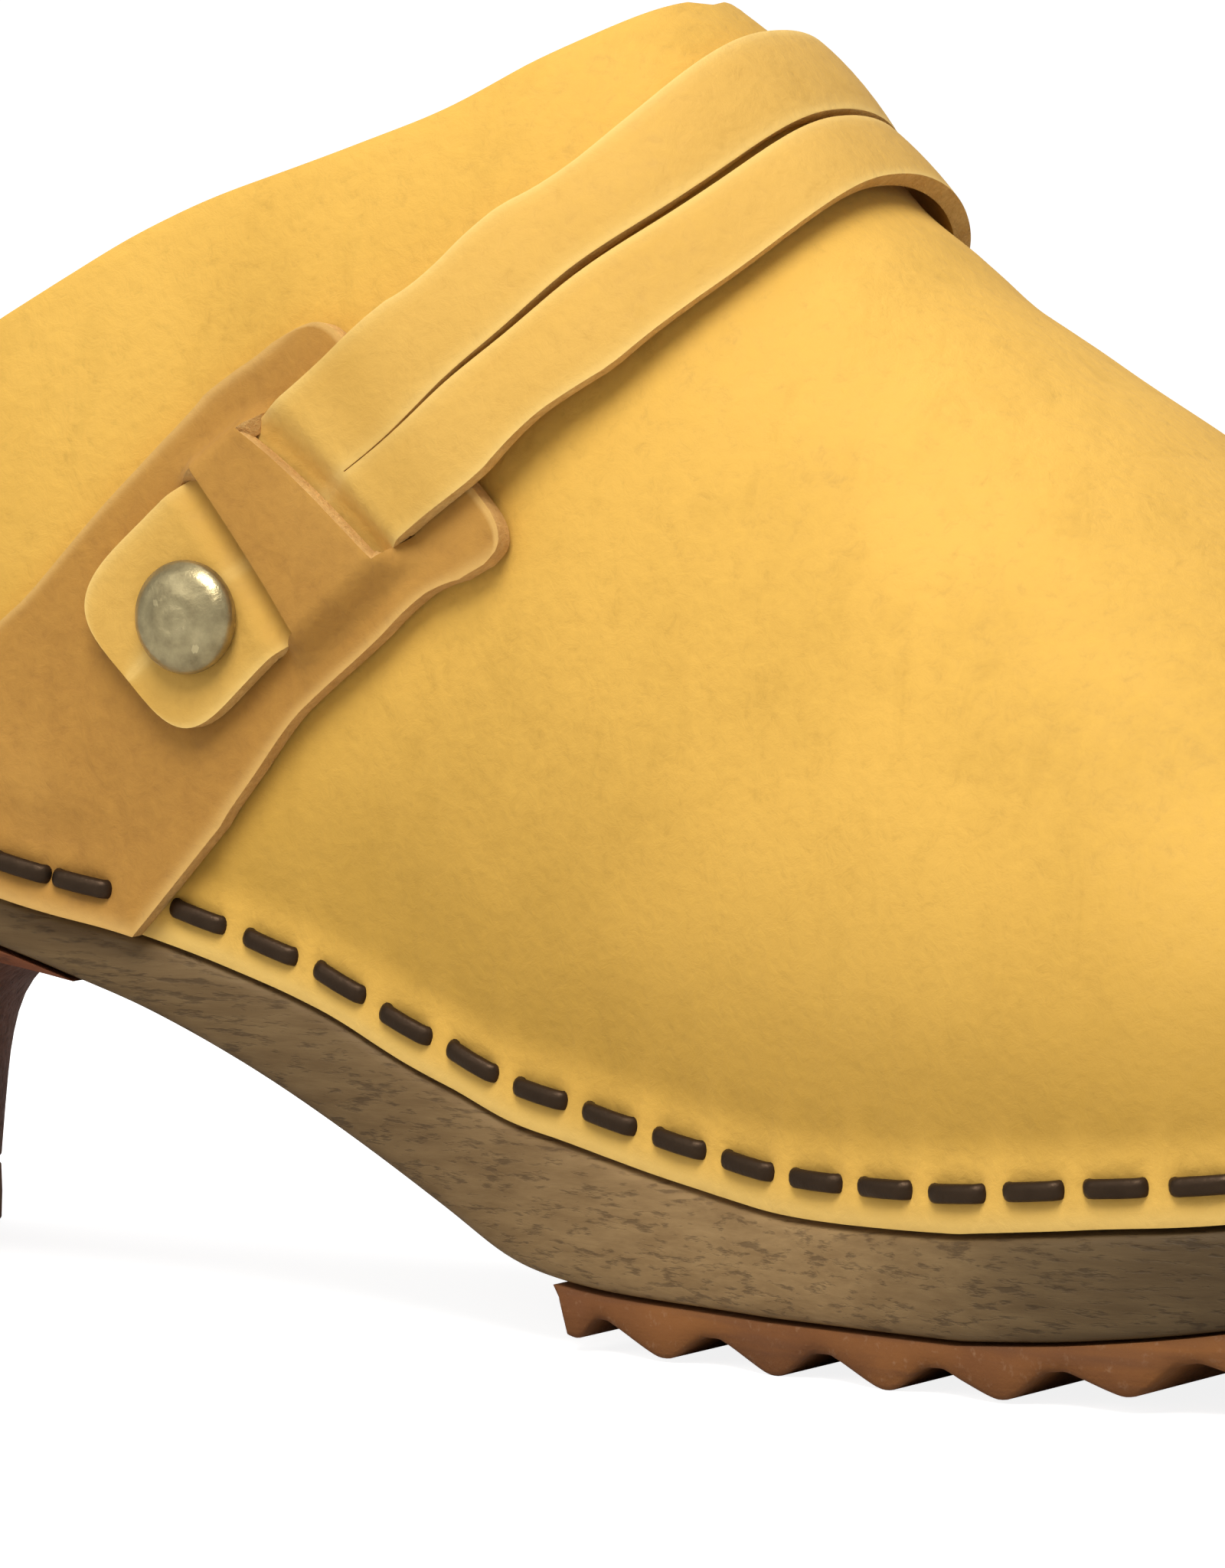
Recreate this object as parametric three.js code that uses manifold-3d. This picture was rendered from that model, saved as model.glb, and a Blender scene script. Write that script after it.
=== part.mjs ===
// A right-foot, open-back clog: a carved wooden sole on a separate heel, a one-piece leather upper
// stapled into a rebate round the sole, and a slit instep strap woven through a tab on each side.
// Millimetres. +X points to the toe, -Y to the outer side of the foot, +Z up; the ground is z = 0.

import * as THREE from "three";
import { mergeVertices } from "three/addons/utils/BufferGeometryUtils.js";
import Module from "manifold-3d";

const wasm = await Module();
wasm.setup();

// ---- Driving dimensions ----

const GAP = 0.3; // clearance left between pieces that touch

const LENGTH = 252; // heel back to toe tip
const HEEL_WIDTH = 63;
const WAIST_WIDTH = 57;
const BALL_WIDTH = 93;

const HEEL_LIFT = 41.3; // underside of the wood above the ground at the heel back
const TOE_SPRING = 17; // how far the toe tip rises above the ball
const RUBBER_BASE = 2.2;
const TOOTH_HEIGHT = 2.5;
const TOOTH_PITCH = 13;
const REBATE_HEIGHT = 10.5; // band of the sole's edge that the leather covers

const UPPER_HEIGHT = 102; // ridge of the upper above its lower edge at the throat
const UPPER_LEATHER = 1.9;
const TAB_LEATHER = 1.8;
const STRAP_LEATHER = 1.8;
const STRAP_WIDTH = 18.8;
const SLIT_WIDTH = 1;
const BRIDGE_WIDTH = 9;

const RIVET_DIAMETER = 10.5;
const STAPLES_BEHIND = 7; // staples on the outer side behind the front edge of the tab
const STAPLES_AHEAD = 25; // and from there to the toe tip
const STAPLE_CROWN = 6.6;
const STAPLE_WIRE = 1.8; // width of the crown's flat wire
const STAPLE_PROUD = 1.2; // the crown's thickness over the leather
const STAPLE_HEIGHT = 3.6; // crown above the leather's lower edge

const BREAST = 60; // front of the heel block where it meets the sole
const TOP_PIECE = 6; // rubber under the heel block

const BALL_LIFT = RUBBER_BASE + TOOTH_HEIGHT + GAP;

const smoothstep = THREE.MathUtils.smoothstep;

// ---- Curves ----

// A smooth function of one value through [value, result] pairs, held flat past both ends.
function through(...pairs) {
  const slope = (i) => {
    const a = pairs[Math.max(i - 1, 0)];
    const b = pairs[Math.min(i + 1, pairs.length - 1)];
    return (b[1] - a[1]) / (b[0] - a[0]);
  };
  return (value) => {
    const v = Math.min(Math.max(value, pairs[0][0]), pairs[pairs.length - 1][0]);
    let i = 0;
    while (i < pairs.length - 2 && v > pairs[i + 1][0]) i++;
    const [x0, y0] = pairs[i];
    const [x1, y1] = pairs[i + 1];
    const h = x1 - x0;
    const t = (v - x0) / h;
    const s = 1 - t;
    return (1 + 2 * t) * s * s * y0 + t * s * s * h * slope(i) +
      t * t * (3 - 2 * t) * y1 - t * t * s * h * slope(i + 1);
  };
}

// These read a place along the shoe as a fraction of its length.
const halfWidth = through([0, HEEL_WIDTH / 2 - 1], [0.15, HEEL_WIDTH / 2], [0.33, WAIST_WIDTH / 2],
  [0.5, 0.23 * (WAIST_WIDTH + BALL_WIDTH)], [0.7, BALL_WIDTH / 2], [1, 0.45 * BALL_WIDTH]);
const centre = through([0, 0], [0.15, 0], [0.33, -2.5], [0.5, -2.5], [0.7, 0], [0.85, 2.5], [1, 5]);
const heelRise = through([0, 1], [0.1, 0.92], [0.18, 0.827], [0.21, 0.77], [0.238, 0.709], [0.27, 0.635],
  [0.313, 0.508], [0.357, 0.357], [0.405, 0.18], [0.429, 0.088], [0.448, 0.047], [0.48, 0.018], [0.55, 0]);
const toeRise = through([0.64, 0], [0.69, 0.06], [0.75, 0.18], [0.83, 0.43], [0.92, 0.71], [1, 1]);
const edgeBand = through([0, 6], [0.21, 5.4], [0.26, 6.8], [0.31, 8.6], [0.35, 10.2], [0.385, 10.9],
  [0.425, 12.7], [0.45, 13.1], [0.47, 12.8], [0.515, 11.1], [0.56, 9.7], [0.6, 9.5], [0.69, 10],
  [0.75, 9.4], [1, 7.6]);
const ridgeShape = through([0, 0.97], [0.2, 1], [0.357, 1.008], [0.444, 1], [0.512, 0.873],
  [0.627, 0.682], [0.714, 0.53], [0.754, 0.463], [0.794, 0.412], [0.853, 0.386]);
const squareness = through([0, 3.4], [0.238, 3.2], [0.397, 2.5], [0.516, 2.2], [0.714, 2.2], [1, 2.3]);
const fullness = through([0.28, 0], [0.516, 0.055], [0.754, 0.065], [1, 0.02]);
const topline = through([0.063, 0], [0.071, 0.07], [0.091, 0.19], [0.127, 0.315], [0.167, 0.42],
  [0.21, 0.53], [0.278, 0.66], [0.357, 0.795], [0.444, 0.995], [0.56, 1.26]);

const HEEL_ROUND = 0.15; // where the round of the heel ends
const TOE_ROUND = 0.7; // where the round of the toe begins

// Half the sole's plan width at x.
function reach(x) {
  const t = x / LENGTH;
  const heel = Math.max(1 - t / HEEL_ROUND, 0);
  const toe = Math.max((t - TOE_ROUND) / (1 - TOE_ROUND), 0);
  return halfWidth(t) * (1 - heel ** 2.2) ** (1 / 2.2) * Math.max(1 - toe ** 2.25, 0) ** (1 / 2.25);
}

const middle = (x) => centre(x / LENGTH);
const woodBottom = (x) =>
  BALL_LIFT + (HEEL_LIFT - BALL_LIFT) * heelRise(x / LENGTH) + TOE_SPRING * toeRise(x / LENGTH);
const feather = (x) => woodBottom(x) + edgeBand(x / LENGTH);
const ridge = (x) => feather(x) + UPPER_HEIGHT * ridgeShape(x / LENGTH);

// Stations from x0 to x1, closer together round the heel and the toe.
function stations(x0, x1, count) {
  const a = Math.acos(1 - (2 * x0) / LENGTH);
  const b = Math.acos(1 - (2 * x1) / LENGTH);
  const turn = (i) => a + ((b - a) * i) / count;
  return Array.from({ length: count + 1 }, (_, i) => (LENGTH / 2) * (1 - Math.cos(turn(i))));
}

// ---- The upper's skin ----

const FOLD_START = 175 / 252; // from here forward the ribs lean back towards the ridge
const FOLD_DEPTH = 37 / 252; // how far the toe tip's rib leans back

// The place on the ridge that the rib rising from x reaches.
function ribTop(x) {
  const past = Math.max(x / LENGTH - FOLD_START, 0) / (1 - FOLD_START);
  return x - FOLD_DEPTH * LENGTH * past * past;
}

// The outer face of the upper: angle 0 is its lower edge on the outer side, PI/2 the ridge, PI the
// lower edge on the inner side.
function skin(x, angle) {
  const side = angle < Math.PI / 2 ? -1 : 1;
  const n = squareness(x / LENGTH);
  const c = Math.abs(Math.cos(angle));
  const s = Math.abs(Math.sin(angle));
  const out = c ** (2 / n) + 2 * fullness(x / LENGTH) * s * c;
  const top = ribTop(x);
  return new THREE.Vector3(
    top + (x - top) * out,
    middle(top) + (middle(x) + side * reach(x) - middle(top)) * out,
    feather(x) + (ridge(top) - feather(x)) * s ** (2 / n),
  );
}

// The skin's outward normal, and its change with x and with angle. At the toe tip the ribs of both
// sides meet, so the normal has no sideways part there.
function slopes(x, angle) {
  const tip = x > LENGTH - 0.1;
  const at = Math.min(x, LENGTH - 0.6);
  const turn = Math.min(Math.max(tip ? Math.min(angle, Math.PI - angle) : angle, 0.02), Math.PI - 0.02);
  const alongX = skin(at + 0.2, turn).sub(skin(at - 0.2, turn)).multiplyScalar(2.5);
  const alongAngle = skin(at, turn + 0.01).sub(skin(at, turn - 0.01)).multiplyScalar(50);
  const normal = alongX.clone().cross(alongAngle).normalize();
  if (tip) normal.setY(0).normalize();
  return { alongX, alongAngle, normal };
}

// A place lifted off the skin.
function lifted(x, angle, lift) {
  return skin(x, angle).addScaledVector(slopes(x, angle).normal, lift);
}

// ---- Solids ----

// A manifold solid from a geometry.
function solid(geometry) {
  const bare = new THREE.BufferGeometry();
  bare.setAttribute("position", geometry.getAttribute("position"));
  if (geometry.index) bare.setIndex(geometry.index);
  const merged = mergeVertices(bare, 1e-3);
  const index = merged.index.array;
  const kept = [];
  for (let i = 0; i < index.length; i += 3) {
    const [a, b, c] = [index[i], index[i + 1], index[i + 2]];
    if (a !== b && b !== c && c !== a) kept.push(a, b, c);
  }
  return new wasm.Manifold(new wasm.Mesh({
    numProp: 3,
    vertProperties: merged.attributes.position.array,
    triVerts: new Uint32Array(kept),
  }));
}

// A geometry from a manifold solid.
function geometryOf(body) {
  const mesh = body.getMesh();
  const geometry = new THREE.BufferGeometry();
  geometry.setAttribute("position", new THREE.BufferAttribute(new Float32Array(mesh.vertProperties), 3));
  geometry.setIndex(new THREE.BufferAttribute(mesh.triVerts, 1));
  geometry.computeVertexNormals();
  return geometry;
}

// A closed surface through rings of points, counter-clockwise seen from above, lowest ring first.
// The first and last rings are shrunk to a line or a point, which closes the ends.
function rings(loops) {
  const count = loops[0].length;
  const index = [];
  for (let k = 0; k + 1 < loops.length; k++) {
    for (let i = 0; i < count; i++) {
      const j = (i + 1) % count;
      const [a, b, c, d] = [k * count + i, k * count + j, (k + 1) * count + j, (k + 1) * count + i];
      index.push(a, b, c, a, c, d);
    }
  }
  const geometry = new THREE.BufferGeometry().setFromPoints(loops.flat());
  geometry.setIndex(index);
  return solid(geometry);
}

// A slab between two grids of points, outer over inner, closed along its four sides. A folded slab's
// last row doubles back on itself, so it is closed already.
function slab(outer, inner, folded = false) {
  const rows = outer.length;
  const columns = outer[0].length;
  const at = (layer, i, j) => layer * rows * columns + i * columns + j;
  const index = [];
  const quad = (a, b, c, d) => index.push(a, b, c, a, c, d);
  for (let i = 0; i + 1 < rows; i++) {
    for (let j = 0; j + 1 < columns; j++) {
      quad(at(0, i, j), at(0, i + 1, j), at(0, i + 1, j + 1), at(0, i, j + 1));
      quad(at(1, i, j), at(1, i, j + 1), at(1, i + 1, j + 1), at(1, i + 1, j));
    }
    const last = columns - 1;
    quad(at(0, i, 0), at(1, i, 0), at(1, i + 1, 0), at(0, i + 1, 0));
    quad(at(0, i, last), at(0, i + 1, last), at(1, i + 1, last), at(1, i, last));
  }
  for (let j = 0; j + 1 < columns; j++) {
    const last = rows - 1;
    quad(at(0, 0, j), at(0, 0, j + 1), at(1, 0, j + 1), at(1, 0, j));
    if (!folded) quad(at(0, last, j), at(1, last, j), at(1, last, j + 1), at(0, last, j + 1));
  }
  const geometry = new THREE.BufferGeometry().setFromPoints([...outer.flat(), ...inner.flat()]);
  geometry.setIndex(index);
  return solid(geometry);
}

// A prism across the shoe, from its side outline as [x, z] pairs.
function acrossShoe(outline, yLow, yHigh) {
  const shape = new THREE.Shape(outline.map(([x, z]) => new THREE.Vector2(x, z)));
  const geometry = new THREE.ExtrudeGeometry(shape, { depth: yHigh - yLow, bevelEnabled: false });
  return solid(geometry.rotateX(Math.PI / 2).translate(0, yHigh, 0));
}

// A round solid from [radius, height] pairs that start and end on the axis, turned about a line
// from foot in the direction of axis.
function turned(profile, foot, axis, sides = 24) {
  const geometry = new THREE.LatheGeometry(profile.map(([r, h]) => new THREE.Vector2(r, h)), sides);
  const turn = new THREE.Quaternion().setFromUnitVectors(new THREE.Vector3(0, 1, 0), axis);
  return solid(geometry.applyQuaternion(turn).translate(foot.x, foot.y, foot.z));
}

const UP = new THREE.Vector3(0, 0, 1);

// The sole's plan outline at x positions, counter-clockwise from the heel along the outer side to
// the toe and back, moved inwards by inset at each x; height gives z from x.
function soleRing(xs, inset, height) {
  const edge = (x, sign) => new THREE.Vector3(x, middle(x) + sign * reach(x), 0);
  const loop = [...xs.map((x) => edge(x, -1)), ...xs.slice(1, -1).reverse().map((x) => edge(x, 1))];
  return loop.map((p, i) => {
    const before = loop[(i + loop.length - 1) % loop.length];
    const along = loop[(i + 1) % loop.length].clone().sub(before).normalize();
    const moved = new THREE.Vector3(-along.y, along.x, 0).multiplyScalar(inset(p.x)).add(p);
    return moved.setZ(height(moved.x));
  });
}

// ---- Wooden sole ----

// The flat-across underside of the wood as side-view points, lowered by drop, with a space below.
function underside(drop, from = -6) {
  const line = spread(-6, LENGTH + 6, 88).filter((x) => x > from).map((x) => [x, woodBottom(x) - drop]);
  return [[from, woodBottom(from) - drop], ...line];
}

const below = (drop) =>
  acrossShoe([...underside(drop), [LENGTH + 6, -20], [-6, -20]], -BALL_WIDTH, BALL_WIDTH);

const LEATHER_START = 0.063 * LENGTH; // rear end of the upper
const REBATE_DEPTH = UPPER_LEATHER + GAP;
const SCREWS = [9.5, 20]; // places of the heel screws along the shoe
const SCREW_RADIUS = 2.4;
const SCREW_HEAD = 4.4;

// How deep the rebate is at x: nothing behind the upper, then its full depth.
const rebate = (x) => REBATE_DEPTH * smoothstep(x, LEATHER_START - 6, LEATHER_START - 1);
const rim = (x) => feather(x) + REBATE_HEIGHT;
const DISH = 3; // hollow of the footbed below its rim
const SPINE_END = 22; // from either end of the sole to its spine line
const footbed = (x) => rim(x) - DISH;

function woodenSole() {
  const xs = stations(0, LENGTH, 46);
  const spine = (height) => {
    const place = (x) => {
      const along = SPINE_END + (x * (LENGTH - 2 * SPINE_END)) / LENGTH;
      return new THREE.Vector3(along, middle(along), height(along));
    };
    return [...xs.map(place), ...xs.slice(1, -1).reverse().map(place)];
  };
  const wall = (extra, height) => soleRing(xs, (x) => rebate(x) + extra, height);
  const loops = [
    spine((x) => woodBottom(x) - 3),
    soleRing(xs, () => 1.2, (x) => woodBottom(x) - 3),
    soleRing(xs, () => 0, woodBottom),
    soleRing(xs, () => 0, (x) => feather(x) - GAP),
    wall(0, (x) => feather(x) - GAP),
    wall(0, (x) => rim(x) - 1.5),
    wall(1.5, rim),
    wall(4, rim),
    wall(12, (x) => rim(x) - 0.8 * DISH),
    spine(footbed),
  ];
  const front = [[LEATHER_START - 1, -20], [LENGTH + 6, -20], [LENGTH + 6, 300], [LEATHER_START - 1, 300]];
  const leather = wholeSkin(-REBATE_DEPTH, 1).intersect(acrossShoe(front, -BALL_WIDTH, BALL_WIDTH));
  let body = rings(loops).subtract(below(0)).subtract(leather);
  for (const x of SCREWS) {
    const bore = [[0, woodBottom(x) - 5], [SCREW_RADIUS + GAP, woodBottom(x) - 5],
      [SCREW_RADIUS + GAP, footbed(x) - 5.5], [SCREW_HEAD + GAP, footbed(x) - 3.2],
      [SCREW_HEAD + GAP, footbed(x) + 8], [0, footbed(x) + 8]];
    body = body.subtract(turned(bore, new THREE.Vector3(x, middle(x), 0), UP, 16));
  }
  return body;
}

// ---- Heel ----

const BLOCK_FOOT = TOP_PIECE + GAP; // underside of the heel block
const FOOT_BREAST = 24; // front of the heel at the ground
const FOOT_BACK = 1.5; // the heel's back is raked forward this far at the ground
const FOOT_TAPER = 0.78; // the heel's width at the ground against its width at the sole

// How far the breast stands forward of its place at the ground, as a share of the whole hollow.
const breastCurve = through([0, 1], [0.04, 0.83], [0.1, 0.62], [0.2, 0.41], [0.3, 0.24], [0.4, 0.12],
  [0.5, 0.045], [0.62, 0.01], [0.75, 0], [1, 0]);

// A ring of the heel at one height: down is 0 at the sole and 1 at the ground. The breast is straight
// across at the sole and rounded further down.
function heelRing(down, height) {
  const back = 1 + FOOT_BACK * down;
  const breast = FOOT_BREAST + (BREAST - FOOT_BREAST) * breastCurve(down);
  const narrow = 1 - (1 - FOOT_TAPER) * down;
  const round = smoothstep(down, 0, 0.35);
  const steps = 16;
  const side = (i, sign) => {
    const u = (1 - Math.cos((i / steps) * Math.PI)) / 2;
    const corner = (1 - round * Math.max(2 * u - 1, 0) ** 2.2) ** (1 / 2.2);
    const x = back + (breast - back) * u;
    const y = middle(u * BREAST) + sign * Math.max(reach(u * BREAST) - 0.6, 0) * narrow * corner;
    return new THREE.Vector3(x, y, height(x));
  };
  const near = Array.from({ length: steps + 1 }, (_, i) => side(i, -1));
  const far = Array.from({ length: steps }, (_, i) => side(steps - i, 1));
  return [...near, ...far];
}

// Closes a ring onto the line between its back and its breast.
function heelSpine(down, height) {
  const ring = heelRing(down, height);
  return ring.map((p) => new THREE.Vector3(p.x * 0.8 + 5, 0, height(p.x * 0.8 + 5)));
}

function heelBlock() {
  const top = (x) => woodBottom(x) + 3;
  const level = (down) => (x) => top(x) + (BLOCK_FOOT - top(x)) * down;
  const loops = [heelSpine(1, level(1))];
  const downs = [1, 0.75, 0.6, 0.5, 0.4, 0.3, 0.2, 0.1, 0.04, 0];
  for (const down of downs) loops.push(heelRing(down, level(down)));
  loops.push(heelSpine(0, level(0)));
  let body = rings(loops).intersect(below(GAP));
  for (const x of SCREWS) {
    const bore = [[0, BLOCK_FOOT + 6], [SCREW_RADIUS + GAP, BLOCK_FOOT + 6],
      [SCREW_RADIUS + GAP, HEEL_LIFT + 10], [0, HEEL_LIFT + 10]];
    body = body.subtract(turned(bore, new THREE.Vector3(x, middle(x), 0), UP, 16));
  }
  return body;
}

function heelTopPiece() {
  const flat = (z) => () => z;
  return rings([heelSpine(1, flat(0)), heelRing(1, flat(0)), heelRing(1, flat(TOP_PIECE)),
    heelSpine(1, flat(TOP_PIECE))]);
}

function heelScrew(x) {
  const tip = BLOCK_FOOT + 8;
  const seat = footbed(x) - 5;
  const head = footbed(x) - 2.8;
  const profile = [[0, tip], [SCREW_RADIUS, tip + 3], [SCREW_RADIUS, seat], [SCREW_HEAD, head], [0, head]];
  return turned(profile, new THREE.Vector3(x, middle(x), 0), UP, 16);
}

// ---- Front outsole ----

const OUTSOLE_START = 0.4556 * LENGTH; // rear edge of the rubber under the forepart
const HALF_TOOTH = 4.5; // the rear edge ends in half a tooth this long

// Saw-tooth tread: each tooth slopes gently at the rear, has a narrow flat tip and a steep front.
function frontOutsole() {
  const under = (x) => woodBottom(x) - GAP;
  const end = LENGTH + 6;
  const outline = underside(GAP, OUTSOLE_START).reverse();
  for (const [along, deep] of [[0.4, 0.3], [0.8, 0.9], [2.4, 0.9]]) {
    outline.push([OUTSOLE_START + along, under(OUTSOLE_START + along) - RUBBER_BASE - deep * TOOTH_HEIGHT]);
  }
  for (let root = OUTSOLE_START + HALF_TOOTH; root + TOOTH_PITCH < end; root += TOOTH_PITCH) {
    const tooth = [[0, 0], [0.5, 1], [0.68, 1]];
    for (const [along, deep] of tooth) {
      const x = root + along * TOOTH_PITCH;
      outline.push([x, under(x) - RUBBER_BASE - deep * TOOTH_HEIGHT]);
    }
  }
  outline.push([end, under(end) - RUBBER_BASE]);
  const strip = acrossShoe(outline.reverse(), -BALL_WIDTH, BALL_WIDTH);
  const plan = stations(0, LENGTH, 40);
  const low = soleRing(plan, () => 0.6, () => -5);
  const high = soleRing(plan, () => 0.6, () => 60);
  const closing = (z) => [...plan, ...plan.slice(1, -1).reverse()].map(
    (x) => new THREE.Vector3(0.6 + (x * (LENGTH - 1.2)) / LENGTH, middle(x), z));
  const column = rings([closing(-5), low, high, closing(60)]);
  return strip.intersect(column);
}

// ---- Upper ----

// A layer over the skin between two lifts, from x0 to x1 and between two angles.
function layer(xs, angles, low, high) {
  const grid = (lift) => xs.map((x) => angles.map((angle) => lifted(x, angle, lift(x, angle))));
  return slab(grid(high), grid(low), xs[xs.length - 1] === LENGTH);
}

// Evenly spaced values from low to high.
const spread = (low, high, count) =>
  Array.from({ length: count + 1 }, (_, i) => low + ((high - low) * i) / count);

// A point of the opening's edge, seen from the side.
const openingEdge = (t) => [t * LENGTH, feather(t * LENGTH) + UPPER_HEIGHT * topline(t)];

// The whole closed skin as a layer between two lifts.
function wholeSkin(low, high) {
  const xs = stations(8, LENGTH, 38);
  xs[xs.length - 1] = LENGTH;
  return layer(xs, spread(0, Math.PI, 30), () => low, () => high);
}

function upper() {
  let body = wholeSkin(-UPPER_LEATHER, 0);
  const high = ridge(0) + 40;
  const low = feather(0) - 40;
  const cut = [...spread(0.063, 0.5, 34).map(openingEdge), [0.52 * LENGTH, high], [-20, high], [-20, low],
    [LEATHER_START, low]];
  body = body.subtract(acrossShoe(cut, -BALL_WIDTH, BALL_WIDTH));
  for (const side of [1, -1]) body = body.subtract(rivetHole(side));
  return body;
}

// ---- The strap's line ----

const OVER_TAB = 2 * GAP + TAB_LEATHER; // lift of the strap where it lies on a tab
const BRIDGE_LIFT = 3.6 * GAP + STRAP_LEATHER; // the bridge stands over the strap

// The strap's middle line as [place along the shoe, angle round the skin], from its end on the
// outer side to the ridge. The inner side mirrors it.
const STRAP_LINE = [[0.252, 0.06], [0.3011, 0.18], [0.333, 0.295], [0.3653, 0.41], [0.3884, 0.508],
  [0.4167, 0.624], [0.4422, 0.755], [0.4627, 0.903], [0.4789, 1.071], [0.491, 1.295], [0.4952, 1.482],
  [0.4956, Math.PI / 2]];
const [RIVET_PLACE, RIVET_ANGLE] = STRAP_LINE[1];
const RIVET_X = RIVET_PLACE * LENGTH;

const ANGLE_SCALE = 40; // a radian round the skin drawn as millimetres, so that the line bends evenly
const drawn = (t, angle) => new THREE.Vector3(t * LENGTH, angle * ANGLE_SCALE, 0);
const strapCurve = new THREE.CatmullRomCurve3([
  ...STRAP_LINE.map(([t, angle]) => drawn(t, angle)),
  ...STRAP_LINE.slice(0, -1).reverse().map(([t, angle]) => drawn(t, Math.PI - angle)),
]);

// Evenly spaced places along the strap's middle line, with the length from the rivet.
const STRAP_STEPS = 600;
const strapTrack = (() => {
  const track = [];
  let travelled = 0;
  let before = null;
  for (let i = 0; i <= STRAP_STEPS; i++) {
    const p = strapCurve.getPoint(i / STRAP_STEPS);
    const angle = p.y / ANGLE_SCALE;
    const place = skin(p.x, angle);
    if (before) travelled += place.distanceTo(before);
    before = place;
    track.push({ x: p.x, angle, s: travelled });
  }
  const fromRivet = (point) => Math.abs(point.angle - RIVET_ANGLE);
  const start = track.reduce((a, b) => (fromRivet(b) < fromRivet(a) ? b : a)).s;
  for (const point of track) point.s -= start;
  return track;
})();
const STRAP_MIDDLE = strapTrack[STRAP_STEPS / 2].s;

// The place at s along the strap and w across it towards the toe, lifted off the skin.
function onStrap(s, w, lift) {
  let i = strapTrack.findIndex((point) => point.s > s);
  i = Math.min(Math.max(i, 2), STRAP_STEPS - 2);
  const a = strapTrack[i - 1];
  const b = strapTrack[i];
  const t = (s - a.s) / (b.s - a.s);
  const x = a.x + (b.x - a.x) * t;
  const angle = a.angle + (b.angle - a.angle) * t;
  const along = skin(strapTrack[i + 1].x, strapTrack[i + 1].angle)
    .sub(skin(strapTrack[i - 2].x, strapTrack[i - 2].angle)).normalize();
  const { alongX, alongAngle, normal } = slopes(x, angle);
  const across = along.clone().cross(normal);
  const xx = alongX.dot(alongX);
  const xa = alongX.dot(alongAngle);
  const aa = alongAngle.dot(alongAngle);
  const det = xx * aa - xa * xa;
  const dx = (across.dot(alongX) * aa - across.dot(alongAngle) * xa) / det;
  const da = (across.dot(alongAngle) * xx - across.dot(alongX) * xa) / det;
  return lifted(x + w * dx, angle + w * da, lift);
}

// ---- Tabs ----

const SLOT = 4.5; // each slot's width along the strap
const BRIDGE_START = 8.6; // from the rivet to the bridge
const BRIDGE_END = BRIDGE_START + BRIDGE_WIDTH;
const SLOT_REACH = STRAP_WIDTH / 2 + 1; // half the length of a slot
const TAB_END = 31.2; // from the rivet to the tab's upper end
const TAB_BACK = -16.1; // the tab's edges across the strap
const TAB_FRONT = 14.8;
const TAB_EDGE_LOW = -12; // below here the tab's edges run straight to its foot
const TAB_FOOT = [0.115, 0.27]; // the tab's width along the sole

// The strip of tab between its two slots, arched over the strap and let into the tab at both ends.
function bridge(side) {
  const fall = (w) => smoothstep(Math.abs(w), SLOT_REACH - 0.4, SLOT_REACH + 2);
  const rise = (w) => GAP + 0.05 + (BRIDGE_LIFT - GAP) * (1 - fall(w));
  const past = [-0.4, 0.4, 1.2, 2, 2.6].map((w) => SLOT_REACH + w);
  const across = [...past.map((w) => -w).reverse(), -SLOT_REACH / 2, 0, SLOT_REACH / 2, ...past];
  const mirrored = (s) => (side < 0 ? s : 2 * STRAP_MIDDLE - s);
  const places = spread(mirrored(BRIDGE_START), mirrored(BRIDGE_END), 4).sort((a, b) => a - b);
  const grid = (extra) => places.map((s) => across.map((w) => onStrap(s, w, rise(w) + extra)));
  return slab(grid(0), grid(TAB_LEATHER - 0.1));
}

// A prism through one side of the upper only.
const halfPrism = (outline, side) =>
  (side < 0 ? acrossShoe(outline, -BALL_WIDTH, -5) : acrossShoe(outline, 5, BALL_WIDTH));

// Points given along and across the strap, as seen from the side.
const seenFromSide = (points) => points.map(([s, w]) => {
  const p = onStrap(s, w, 0);
  return [p.x, p.z];
});

function tab(side) {
  const angles = side < 0 ? spread(0, 0.66, 16) : spread(Math.PI - 0.66, Math.PI, 16);
  const xs = spread(TAB_FOOT[0] * LENGTH - 3, 0.45 * LENGTH, 24);
  const sheet = layer(xs, angles, () => GAP, () => GAP + TAB_LEATHER);
  const foot = TAB_FOOT.map((t) => [t * LENGTH, feather(t * LENGTH) - 1]);
  const edge = [[TAB_EDGE_LOW, TAB_FRONT + 0.4], [-5, TAB_FRONT - 0.4], [3, TAB_FRONT - 1.3],
    [16, TAB_FRONT - 1.1], [22.6, TAB_FRONT + 0.1], [TAB_END - 2.3, TAB_FRONT],
    [TAB_END - 0.5, TAB_FRONT - 1], [TAB_END, TAB_FRONT - 3],
    [TAB_END - 4, TAB_BACK + 6.2], [TAB_END - 5.3, TAB_BACK + 2.2], [TAB_END - 8.5, TAB_BACK + 0.6],
    [TAB_END - 13, TAB_BACK], [3.6, TAB_BACK + 0.9], [TAB_EDGE_LOW, TAB_BACK + 1.6]];
  const outline = [foot[0], foot[1], ...seenFromSide(edge)];
  let body = sheet.intersect(halfPrism(outline, side));
  const window = [[BRIDGE_START - SLOT, -SLOT_REACH], [BRIDGE_START - SLOT, SLOT_REACH],
    [BRIDGE_END + SLOT, SLOT_REACH], [BRIDGE_END + SLOT, -SLOT_REACH]];
  body = body.subtract(halfPrism(seenFromSide(window), side)).add(bridge(side));
  return body.subtract(rivetHole(side));
}

// ---- Strap ----

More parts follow.
